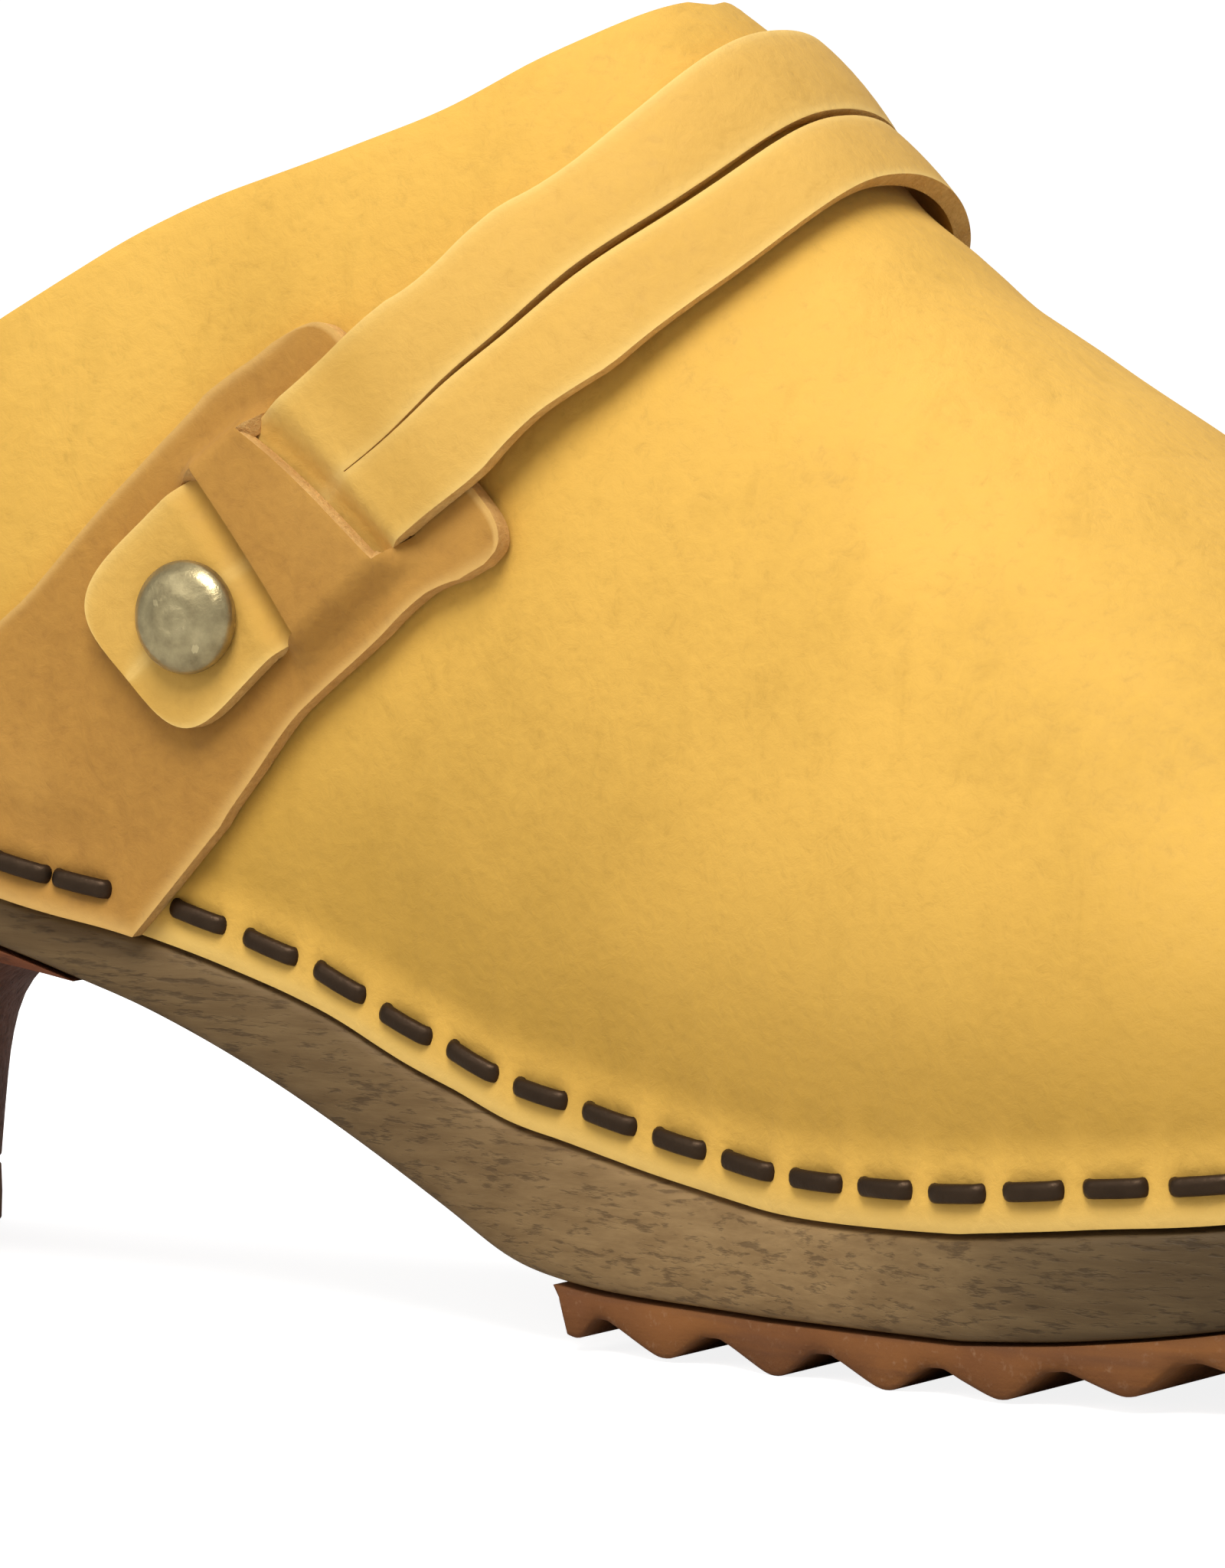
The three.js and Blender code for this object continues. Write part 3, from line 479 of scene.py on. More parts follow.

# ---- Heel ----
# A separate wooden block, hollowed at the breast, with a rubber top piece under it. It is coloured
# darker and redder than the sole: painted shade for its breast, which stands in shadow. Two countersunk
# screws hold it from inside the footbed.

# Painted shade: a darker, redder copy of the sole's stained wood.
heel_wood = wood_material("heel_wood", (0.26, 0.085, 0.034), (0.17, 0.055, 0.022), (0.06, 0.02, 0.009), 0.65)


def rubber_material():
    """Brown crepe-like rubber: matt, finely pitted, with pale dusty specks and dark streaks."""
    material, tree, shader = shaded("sole_rubber", 0.3)
    flat = mapped(tree, (1, 1, 1))
    cloud = noise(tree, flat, 45, 4, 0.6)
    speck = noise(tree, flat, 900, 3, 0.7)
    streak = noise(tree, mapped(tree, (15, 60, 220)), 2.5, 3, 0.6)
    base = ramp(tree, cloud, (0.3, (0.12, 0.04, 0.009)), (0.7, (0.21, 0.08, 0.02)))
    dusty = mix(tree, ramp(tree, speck, (0.58, 0.0), (0.75, 0.5)), base, (0.27, 0.15, 0.08))
    color = mix(tree, ramp(tree, streak, (0.45, 0.0), (0.7, 0.45)), dusty, (0.07, 0.028, 0.014))
    rough = ramp(tree, cloud, (0.3, 0.72), (0.7, 0.9))
    wire(tree, shader, color, rough, bump(tree, speck, 0.4, 0.0003, bump(tree, streak, 0.3, 0.0004)))
    return material


sole_rubber = rubber_material()

GAP = 0.0003
BREAST = 0.06
TOP_PIECE = 0.006
FOOT_BREAST = 0.024
FOOT_BACK = 0.0015
FOOT_TAPER = 0.78

# How far the breast stands forward of its place at the ground, as a share of the whole hollow.
breast_curve = through((0, 1), (0.04, 0.83), (0.1, 0.62), (0.2, 0.41), (0.3, 0.24), (0.4, 0.12),
                       (0.5, 0.045), (0.62, 0.01), (0.75, 0), (1, 0))


def heel_loop(down, height, inset=0.0):
    """The heel's outline at one level: down is 0 at the sole and 1 at the ground."""
    back = 0.001 + FOOT_BACK * down + inset
    breast = FOOT_BREAST + (BREAST - FOOT_BREAST) * breast_curve(down) - inset
    narrow = 1 - (1 - FOOT_TAPER) * down
    u = (1 - np.cos(np.linspace(0, math.pi, 64))) / 2
    corner = (1 - smooth(down, 0, 0.35) * np.maximum(2 * u - 1, 0) ** 2.2) ** (1 / 2.2)
    x = back + (breast - back) * u
    side = np.maximum(reach(u * BREAST) - 0.0006 - inset, 0) * narrow * corner
    near = np.column_stack([x, middle(u * BREAST) - side])
    far = np.column_stack([x, middle(u * BREAST) + side])[:-1][::-1]
    loop = np.concatenate([near, far])
    return np.column_stack([loop, height(loop[:, 0])])


def make_heel_part(name, downs_and_heights, material, node):
    loops = [heel_loop(down, height, inset) for down, height, inset in downs_and_heights]
    first, last = loops[0].copy(), loops[-1].copy()
    for cap in (first, last):
        cap[:, :2] = cap[:, :2].mean(0) + (cap[:, :2] - cap[:, :2].mean(0)) * (0.5, 0)
    points = np.stack([first, *loops, last])
    faces = grid_faces(points.shape[0], points.shape[1], loop=True)
    piece = make_piece(name, points.reshape(-1, 3), faces, [material])
    finish_edges(piece, width=0.0005, angle=45)
    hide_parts(node)
    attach(piece, "root")


def heel_levels():
    """The block's rings from the ground up: how far down each lies, its height and its inset."""
    foot = TOP_PIECE + GAP

    def level(down):
        return lambda x: foot + (wood_bottom(x) - GAP - foot) * (1 - down)

    downs = (0.985, 0.85, 0.75, 0.68, 0.62, 0.56, 0.5, 0.45, 0.4, 0.35, 0.3, 0.25, 0.2, 0.15, 0.1,
             0.07, 0.04, 0.02, 0)
    return [(1, level(1), 0.0004)] + [(down, level(down), 0) for down in downs]


def top_piece_levels():
    """The rubber's rings: a broken lower edge, a slightly full wall and a broken upper edge."""
    heights_and_insets = ((0.0, 0.0005), (0.0005, 0.0), (0.003, -0.0001), (TOP_PIECE - 0.0004, 0.0),
                          (TOP_PIECE, 0.0003))
    return [(1, lambda x, z=z: z + 0 * x, inset) for z, inset in heights_and_insets]


make_heel_part("heel", heel_levels(), heel_wood, "heel_block")
make_heel_part("top_piece", top_piece_levels(), sole_rubber, "heel_top_piece")


def metal_material(name, pale, dark, roughness, patina):
    """Aged metal: bright where it is rubbed, dark and dull in its hollows."""
    material, tree, shader = shaded(name)
    flat = mapped(tree, (1, 1, 1))
    cloud = noise(tree, flat, 300, 5, 0.65)
    fine = noise(tree, flat, 1500, 3, 0.6)
    worn_edge = add_node(tree, "ShaderNodeNewGeometry").outputs["Pointiness"]
    hollow = ramp(tree, worn_edge, (0.46, 0.0), (0.54, 1.0))
    worn = mix(tree, ramp(tree, cloud, (0.35, 0.0), (0.7, 1.0)), dark, pale)
    color = mix(tree, maths(tree, "MULTIPLY", hollow, 0.7), mix(tree, 0.5, worn, dark), pale)
    rough = ramp(tree, cloud, (0.3, roughness + patina), (0.7, roughness))
    wire(tree, shader, color, rough, bump(tree, fine, 0.25, 0.0002, bump(tree, cloud, 0.3, 0.0003)))
    shader.inputs["Metallic"].default_value = 0.85
    return material


screw_steel = metal_material("screw_steel", (0.55, 0.54, 0.52), (0.25, 0.24, 0.22), 0.35, 0.2)


def turned_piece(name, profile, foot, axis, material, node, sides=64):
    """A round piece from [radius, height] pairs, turned about a line from foot along axis."""
    axis = Vector(axis).normalized()
    turn = np.array(Vector((0, 0, 1)).rotation_difference(axis).to_matrix())
    angles = np.linspace(0, 2 * math.pi, sides, endpoint=False)
    r = np.array([p[0] for p in profile])[:, None]
    h = np.array([p[1] for p in profile])[:, None]
    points = np.stack([r * np.cos(angles), r * np.sin(angles), h + 0 * angles], -1)
    points = points.reshape(-1, 3) @ turn.T + np.asarray(foot)
    piece = make_piece(name, points, grid_faces(len(profile), sides, loop=True), [material])
    finish_edges(piece, width=0.00012, segments=2, angle=35)
    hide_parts(node)
    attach(piece, "root")


for number, place in enumerate((0.0095, 0.02), 1):
    head = float(rim(place)) - DISH - 0.0004
    screw = [(0.0, head - 0.034), (0.0024, head - 0.030), (0.0024, head - 0.0024), (0.0044, head - 0.0003),
             (0.0043, head), (0.0018, head), (0.0014, head - 0.0012), (0.0, head - 0.0014)]
    turned_piece(f"screw_{number}", screw, (place, float(middle(place)), 0), (0, 0, 1), screw_steel,
                 f"heel_screw_{number}", 32)

# ---- Front outsole ----
# Brown moulded rubber glued under the forepart. Each cross tooth slopes gently at the rear, is
# rounded at its tip and drops steeply in front.

OUTSOLE_START = 0.4556 * LENGTH
RUBBER_BASE = 0.0022
TOOTH_HEIGHT = 0.0025
TOOTH_PITCH = 0.013

tooth_shape = through((0, 0), (0.08, 0.02), (0.47, 0.9), (0.56, 1), (0.66, 0.9), (0.9, 0.06), (1, 0))


def tread(x):
    """How far the rubber reaches below the wood at x."""
    start = OUTSOLE_START + 0.0045
    phase = np.mod(x - start, TOOTH_PITCH) / TOOTH_PITCH
    half_tooth = 0.9 * smooth(x, OUTSOLE_START, OUTSOLE_START + 0.001) * smooth(start - x, 0, 0.0026)
    teeth = np.where(x > start, tooth_shape(phase), half_tooth) * smooth(LENGTH - x, 0.0, 0.004)
    base = RUBBER_BASE * smooth(x, OUTSOLE_START - 0.0015, OUTSOLE_START + 0.0008)
    return GAP + base + TOOTH_HEIGHT * teeth


def make_outsole():
    xs = np.unique(np.concatenate([np.arange(OUTSOLE_START, LENGTH - 0.003, 0.00045),
                                   LENGTH - 0.003 * (1 - np.linspace(0, 1, 24)) ** 2]))
    near_tip = (xs - LENGTH / 2) * LENGTH / (LENGTH - 0.0012) + LENGTH / 2
    half = reach(np.minimum(near_tip, LENGTH)) * (1 - 0.0006 / 0.046)
    top = wood_bottom(xs) - GAP
    low = wood_bottom(xs) - tread(xs)
    round_off = np.minimum(0.0005, (top - low) * 0.3)
    across = []
    for u, z in ((-1, "top"), (-1, "side"), (-0.9965, "turn"), (-0.988, "low"), (-0.6, "low"), (-0.2, "low"),
                 (0.2, "low"), (0.6, "low"), (0.988, "low"), (0.9965, "turn"), (1, "side"), (1, "top"),
                 (0.5, "top"), (0, "top"), (-0.5, "top")):
        height = {"top": top, "side": low + round_off, "turn": low + 0.25 * round_off, "low": low}[z]
        across.append(np.column_stack([xs - (0.0006 if z == "top" else 0), middle(xs) + u * half, height]))
    points = np.stack(across, 1)
    count = points.shape[1]
    faces = grid_faces(points.shape[0], count, loop=True).tolist()
    faces.append(list(range(count)))
    piece = make_piece("tread", points.reshape(-1, 3), [f[::-1] for f in faces], [sole_rubber])
    bm = bmesh.new()
    bm.from_mesh(piece.data)
    bmesh.ops.recalc_face_normals(bm, faces=bm.faces)
    bm.to_mesh(piece.data)
    bm.free()
    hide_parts("front_outsole")
    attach(piece, "root")


make_outsole()

# ---- Upper ----
# One piece of napped leather about 2 mm thick, drawn over a last, cut open behind the instep and
# stapled into the rebate round the sole. Its cut edge shows paler and fibrous.

UPPER_HEIGHT = 0.102
FOLD_START = 175 / 252
FOLD_DEPTH = 37 / 252
THROAT = 0.4449
STAPLE_HEIGHT = 0.0036

ridge_shape = through(
    (0, 0.97), (0.2, 1), (0.357, 1.008), (0.444, 1), (0.512, 0.873), (0.627, 0.682), (0.714, 0.53),
    (0.754, 0.463), (0.794, 0.412), (0.853, 0.386),
)
squareness = through((0, 3.4), (0.238, 3.2), (0.397, 2.5), (0.516, 2.2), (0.714, 2.2), (1, 2.3))
fullness = through((0.28, 0), (0.516, 0.055), (0.754, 0.065), (1, 0.02))
topline = through(
    (0.063, 0), (0.071, 0.07), (0.091, 0.19), (0.127, 0.315), (0.167, 0.42), (0.21, 0.53),
    (0.278, 0.66), (0.357, 0.795), (0.444, 0.995), (0.56, 1.26),
)


def ridge(x):
    return feather(x) + UPPER_HEIGHT * ridge_shape(np.asarray(x) / LENGTH)


def rib_top(x):
    past = np.maximum(np.asarray(x) / LENGTH - FOLD_START, 0) / (1 - FOLD_START)
    return x - FOLD_DEPTH * LENGTH * past**2


def skin(x, angle):
    """The leather's outer face: angle 0 is the outer side's lower edge, half a turn the inner side's."""
    x, angle = np.broadcast_arrays(np.asarray(x, float), np.asarray(angle, float))
    side = np.where(angle < math.pi / 2, -1.0, 1.0)
    n = squareness(x / LENGTH)
    c, s = np.abs(np.cos(angle)), np.abs(np.sin(angle))
    out = c ** (2 / n) + 2 * fullness(x / LENGTH) * s * c
    top = rib_top(x)
    return np.stack([
        top + (x - top) * out,
        middle(top) + (middle(x) + side * reach(x) - middle(top)) * out,
        feather(x) + (ridge(top) - feather(x)) * s ** (2 / n),
    ], -1)


def slopes(x, angle):
    """How the skin changes along the shoe and round it, and its outward normal."""
    x, angle = np.broadcast_arrays(np.asarray(x, float), np.asarray(angle, float))
    tip = x > LENGTH - 0.0001
    at = np.minimum(x, LENGTH - 0.0006)
    turn = np.clip(np.where(tip, np.minimum(angle, math.pi - angle), angle), 0.02, math.pi - 0.02)
    along_x = (skin(at + 2e-4, turn) - skin(at - 2e-4, turn)) / 4e-4
    along_angle = (skin(at, turn + 0.01) - skin(at, turn - 0.01)) / 0.02
    normal = np.cross(along_x, along_angle)
    normal[..., 1] = np.where(tip, 0, normal[..., 1])
    return along_x, along_angle, normal / np.linalg.norm(normal, axis=-1, keepdims=True)


def lifted(x, angle, lift):
    return skin(x, angle) + slopes(x, angle)[2] * np.asarray(lift)[..., None]


def row_angle(x):
    """The angle round the skin at the height of the staples."""
    rise = STAPLE_HEIGHT / (ridge(rib_top(x)) - feather(x))
    return np.arcsin(rise ** (squareness(np.asarray(x) / LENGTH) / 2))


TAB_FOOT = (0.115 * LENGTH, 0.27 * LENGTH)
row_xs = stations(LEATHER_START, LENGTH, 1200)
row_line = skin(row_xs, row_angle(row_xs))
row_length = np.concatenate([[0], np.cumsum(np.linalg.norm(np.diff(row_line, axis=0), axis=1))])


def spaced(start, stop, count):
    """Staple places along the shoe, evenly spaced along the row."""
    ends = np.interp([start, stop], row_xs, row_length)
    return np.interp(np.linspace(*ends, count), row_length, row_xs)


row_break = TAB_FOOT[1]
staple_xs = np.concatenate([spaced(LEATHER_START + 0.0075, row_break - 0.0055, 7),
                            spaced(row_break + 0.0059, LENGTH - 0.0008, 25)])
staple_lengths = np.interp(staple_xs, row_xs, row_length)
over_tab = (staple_xs > TAB_FOOT[0]) & (staple_xs < TAB_FOOT[1])


def staple_press(x, height, on_tab):
    """How far the staples dent the leather, and how it puckers up between and above them."""
    length = np.interp(x, row_xs, row_length)
    press = np.zeros(np.broadcast(x, height).shape)
    for s, tab_staple in zip(staple_lengths, over_tab):
        if tab_staple != on_tab:
            continue
        beside = np.abs(length - s)
        under = np.exp(-(np.maximum(beside - 0.0022, 0) / 0.0012) ** 2)
        press -= 0.00055 * under * np.exp(-((height - STAPLE_HEIGHT) / 0.0015) ** 2)
        pucker = np.exp(-((beside - 0.0048) / 0.0012) ** 2)
        press += 0.00018 * pucker * np.exp(-((height - STAPLE_HEIGHT) / 0.0024) ** 2)
        press -= 0.00022 * under * np.exp(-((height - STAPLE_HEIGHT - 0.0045) / 0.0022) ** 2)
    return press


def ripple(points, scale, seed):
    """Slow, smooth unevenness from crossing waves, from about -1 to 1."""
    draw = np.random.default_rng(seed)
    total = 0
    for _ in range(7):
        way = draw.normal(size=3)
        way /= np.linalg.norm(way)
        pitch = draw.uniform(0.6, 1.6) * 2 * math.pi / scale
        total = total + np.sin(points @ way * pitch + draw.uniform(0, 6.3))
    return total / 4.5


def leather_group():
    """Napped leather: cloudy colour, brushed nap, close pores and fine creases."""
    group = new_group("leather_nap", [("Fineness", 1.0)], ["Cloud", "Nap", "Pores", "Creases"])
    inner = group.nodes.new("NodeGroupInput")
    outer = group.nodes.new("NodeGroupOutput")
    flat = mapped(group, (1, 1, 1))
    fine = inner.outputs["Fineness"]
    cloud = noise(group, flat, maths(group, "MULTIPLY", fine, 24), 5, 0.5, 0.2)
    nap = noise(group, flat, maths(group, "MULTIPLY", fine, 520), 5, 0.75, 0.4)
    values = {"Vector": flat, "Scale": maths(group, "MULTIPLY", fine, 900)}
    cells = add_node(group, "ShaderNodeTexVoronoi", values, feature="SMOOTH_F1").outputs["Distance"]
    creases = noise(group, mapped(group, (1.6, 1, 0.7)), maths(group, "MULTIPLY", fine, 110), 4, 0.6, 0.8)
    for name, socket in (("Cloud", cloud), ("Nap", nap), ("Pores", cells), ("Creases", creases)):
        group.links.new(socket, outer.inputs[name])
    return group


leather_nap = leather_group()


def leather_material(name, pale, mid, dark, edge, fineness=1.0, relief=0.35):
    """Leather by its three tones, with an edge tone drawn in where its 'edge' attribute is high."""
    material, tree, shader = shaded(name, 0.25)
    group = tree.nodes.new("ShaderNodeGroup")
    group.node_tree = leather_nap
    group.inputs["Fineness"].default_value = fineness
    cloud, nap, pores, creases = (group.outputs[k] for k in ("Cloud", "Nap", "Pores", "Creases"))
    tone = ramp(tree, cloud, (0.05, dark), (0.5, mid), (0.78, pale))
    tone = mix(tree, ramp(tree, nap, (0.42, 0.0), (0.7, 0.3)), tone, pale)
    tone = mix(tree, ramp(tree, nap, (0.25, 0.3), (0.44, 0.0)), tone, dark)
    # Painted shade: the fine creases are darkened in their grooves.
    tone = mix(tree, ramp(tree, creases, (0.3, 0.16), (0.45, 0.0)), tone, dark)
    tone = mix(tree, maths(tree, "MULTIPLY", point_value(tree, "edge"), 0.85), tone, edge)
    # Painted shade: the leather is darkened towards its dark tone where the shade attribute is high.
    tone = mix(tree, maths(tree, "MULTIPLY", point_value(tree, "painted_shade"), 0.5, True), tone, dark)
    rough = ramp(tree, nap, (0.3, 0.62), (0.7, 0.86))
    height = maths(tree, "ADD", maths(tree, "MULTIPLY", nap, 0.8), maths(tree, "MULTIPLY", pores, 0.5))
    close = bump(tree, height, relief, 0.00045)
    wire(tree, shader, tone, rough, bump(tree, creases, 0.25, 0.0008, close))
    shader.inputs["Sheen Weight"].default_value = 0.04
    shader.inputs["Sheen Roughness"].default_value = 0.5
    return material


def cut_edge_material(name, pale, dark):
    """The raw cut edge of leather: pale, layered and fibrous."""
    material, tree, shader = shaded(name, 0.2)
    fibre = noise(tree, mapped(tree, (1, 1, 1)), 1400, 4, 0.75)
    cloud = noise(tree, mapped(tree, (1, 1, 1)), 160, 3, 0.6)
    tone = mix(tree, ramp(tree, cloud, (0.3, 0.0), (0.7, 0.6)), pale, dark)
    color = mix(tree, ramp(tree, fibre, (0.35, 0.5), (0.62, 0.0)), tone, dark)
    wire(tree, shader, color, ramp(tree, fibre, (0.3, 0.8), (0.7, 0.95)), bump(tree, fibre, 0.7, 0.0006))
    return material


# The edge tone is paler: on the upper's margin below the staples it is partly painted highlight.
upper_leather = leather_material(
    "upper_leather", (0.76, 0.45, 0.088), (0.68, 0.39, 0.069), (0.4, 0.225, 0.03), (0.7, 0.45, 0.12),
)
upper_edge = cut_edge_material("upper_cut_edge", (0.74, 0.5, 0.2), (0.45, 0.26, 0.08))


def rib_angles(xs, distances):
    """Angles up each rib at the given lengths of leather from its lower edge, up to the topline."""
    share = np.clip(topline(xs / LENGTH) / ridge_shape(xs / LENGTH), 0, 1)
    cut = np.arcsin(share ** (squareness(xs / LENGTH) / 2))
    cut = np.where(xs / LENGTH > THROAT, math.pi / 2, np.maximum(cut, 0.004))
    angles = np.linspace(0, 1, 241)[None] * cut[:, None]
    line = skin(xs[:, None], angles)
    run = np.cumsum(np.linalg.norm(np.diff(line, axis=1), axis=2), axis=1)
    run = np.concatenate([np.zeros((len(xs), 1)), run], 1)
    wanted = distances(run[:, -1])
    found = [np.interp(wanted[i], run[i], angles[i]) for i in range(len(xs))]
    return np.array(found), wanted


def make_upper():
    close = LENGTH * THROAT - 0.0025 * np.linspace(1, 0, 9) ** 2
    xs = np.unique(np.concatenate([stations(LEATHER_START + 0.0001, LENGTH, 330), close]))
    xs[-1] = LENGTH
    lower = np.linspace(0, 1, 17)
    upper_part = np.linspace(0, 1, 36)[1:]

    def distances(total):
        foot = np.minimum(0.0115, 0.5 * total)[:, None]
        return np.concatenate([foot * lower, foot + (total[:, None] - foot) * upper_part], 1)

    angles, heights = rib_angles(xs, distances)
    grid_x = np.broadcast_to(xs[:, None], angles.shape)
    sheets, edges, painted_shade = [], [], []
    for side in (-1, 1):
        turn = angles if side < 0 else math.pi - angles
        base = skin(grid_x, turn)
        fade = smooth(heights, 0.006, 0.02) * smooth(grid_x, LEATHER_START, LEATHER_START + 0.02)
        waves = -0.00028 * (1 + ripple(base, 0.05, 4)) * fade
        low_band = np.exp(-((heights - 0.012) / 0.006) ** 2) * smooth(grid_x, 0.3 * LENGTH, 0.4 * LENGTH)
        waves -= 0.0003 * low_band * (1 + ripple(base, 0.03, 9))
        folds = np.exp(-((grid_x / LENGTH - 0.53) / 0.05) ** 2) * np.sin(angles) ** 4
        waves -= 0.0002 * folds * (1 + np.sin(grid_x * 2 * math.pi / 0.011 + 2 * angles))
        press = staple_press(grid_x, heights, False)
        press = np.where((grid_x > TAB_FOOT[0]) & (grid_x < TAB_FOOT[1]), np.minimum(press, 0) * 0.3, press)
        sheets.append(lifted(grid_x, turn, waves + press))
        # The margin below the staples is paler: the leather's own paler cut edge, and painted highlight where
        # the lip catches the light.
        edges.append(np.exp(-(heights / 0.0014) ** 2) + 0.35 * np.exp(-((heights - 0.0012) / 0.0025) ** 2))
        # Painted shade on the upper: darker towards its lower edge, in a band where the wall curves in above
        # the staples, and in the staple dents.
        height = base[..., 2] - feather(grid_x)
        shade = smooth(0.042 - height, 0, 0.034) * smooth(heights, 0.0045, 0.009)
        painted_shade.append(low_band * 0.4 + 1.1 * shade + np.clip(-press / 0.0006, 0, 1) * 0.5)
    rows, columns = angles.shape
    points = np.concatenate([sheets[0].reshape(-1, 3), sheets[1].reshape(-1, 3)])
    near = grid_faces(rows, columns)
    far = near[:, ::-1] + rows * columns
    piece = make_piece("leather_upper", points, np.concatenate([near, far]), [upper_leather, upper_edge], {
        "edge": np.concatenate([e.ravel() for e in edges]),
        "painted_shade": np.concatenate([b.ravel() for b in painted_shade]),
    })
    finish_edges(piece, UPPER_LEATHER, 1, 0.0003, 2, 55)
    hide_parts("upper")
    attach(piece, "root")


make_upper()

# ---- Strap ----
# A separate strap of the same leather over the instep, slit along its middle. Each end is a plain
# tongue that passes under the bridge of a tab and is riveted through tab and upper.

STRAP_LEATHER = 0.0018
BACK_HALF = 0.0101  # from the slit to the strap's rear edge
FRONT_HALF = 0.0087  # and to its front edge
TAB_LEATHER = 0.0018

# Places along the strap, from the outer rivet.
BRIDGE_START = 0.0086
BRIDGE_END = 0.0176
BRIDGE_SKEW = 0.31
SLOT = 0.0045
TAB_END = 0.0312
SLIT_START = 0.0211
TONGUE = 0.0091  # the strap's end past the rivet

STRAP_REST = 1.6 * GAP  # lift of the strap off the upper
OVER_TAB = 2 * GAP + TAB_LEATHER  # and where it lies on a tab
RIVET_X = 0.3011 * LENGTH
RIVET_ANGLE = 0.18

# The strap's middle line as (angle round the skin, share of the clog's length).
STRAP_LINE = (
    (0.06, 0.252), (0.18, 0.3011), (0.295, 0.333), (0.41, 0.3653), (0.508, 0.3884), (0.624, 0.4167),
    (0.755, 0.4422), (0.903, 0.4627), (1.071, 0.4789), (1.295, 0.491), (1.482, 0.4952),
)

# The strap lies in one even sweep from side to side, so its line is an even curve about the ridge.
line_angles, line_places = np.array(STRAP_LINE).T
strap_curve = np.polynomial.Polynomial.fit((math.pi / 2 - line_angles) ** 2, line_places, 4)
track_angles = np.linspace(0.06, math.pi - 0.06, 1601)
track_xs = LENGTH * strap_curve((math.pi / 2 - track_angles) ** 2)
track_line = skin(track_xs, track_angles)
track_run = np.concatenate([[0], np.cumsum(np.linalg.norm(np.diff(track_line, axis=0), axis=1))])
track_run -= np.interp(RIVET_ANGLE, track_angles, track_run)
STRAP_MIDDLE = float(np.interp(math.pi / 2, track_angles, track_run))


def strap_skin(s, w):
    """The place on the skin at s from the outer rivet along the strap and w across it."""
    s, w = np.broadcast_arrays(np.asarray(s, float), np.asarray(w, float))
    x = np.interp(s, track_run, track_xs)
    angle = np.interp(s, track_run, track_angles)
    step = 0.004
    ahead = skin(np.interp(s + step, track_run, track_xs), np.interp(s + step, track_run, track_angles))
    behind = skin(np.interp(s - step, track_run, track_xs), np.interp(s - step, track_run, track_angles))
    along = ahead - behind
    along /= np.linalg.norm(along, axis=-1, keepdims=True)
    along_x, along_angle, normal = slopes(x, angle)
    across = np.cross(along, normal)
    xx, xa, aa = ((p * q).sum(-1) for p, q in ((along_x, along_x), (along_x, along_angle),
                                                (along_angle, along_angle)))
    to_x, to_angle = (across * along_x).sum(-1), (across * along_angle).sum(-1)
    det = xx * aa - xa * xa
    return x + w * (to_x * aa - to_angle * xa) / det, angle + w * (to_angle * xx - to_x * xa) / det


def on_strap(s, w, lift):
    return lifted(*strap_skin(s, w), lift)


def bridge_end(w):
    """The bridge widens towards the toe, so that its upper edge runs askew."""
    return BRIDGE_END + BRIDGE_SKEW * w


def slot_end(w):
    return BRIDGE_END + SLOT + 0.2 * w


def strap_lift(s, w):
    near = np.minimum(s, 2 * STRAP_MIDDLE - s)
    under = smooth(near, BRIDGE_START - SLOT + 0.0005, BRIDGE_START - 0.0004)
    under = under * (1 - smooth(near, bridge_end(w) + 0.0002, slot_end(w) - 0.0004))
    past = smooth(near, TAB_END + 0.0005, TAB_END + 0.036)
    return STRAP_REST + (OVER_TAB - STRAP_REST) * (1 - np.maximum(under, past))


strap_leather = leather_material(
    "strap_leather", (0.7, 0.42, 0.098), (0.63, 0.365, 0.076), (0.46, 0.25, 0.038), (0.78, 0.53, 0.17),
)
strap_edge = cut_edge_material("strap_cut_edge", (0.82, 0.55, 0.2), (0.5, 0.26, 0.06))


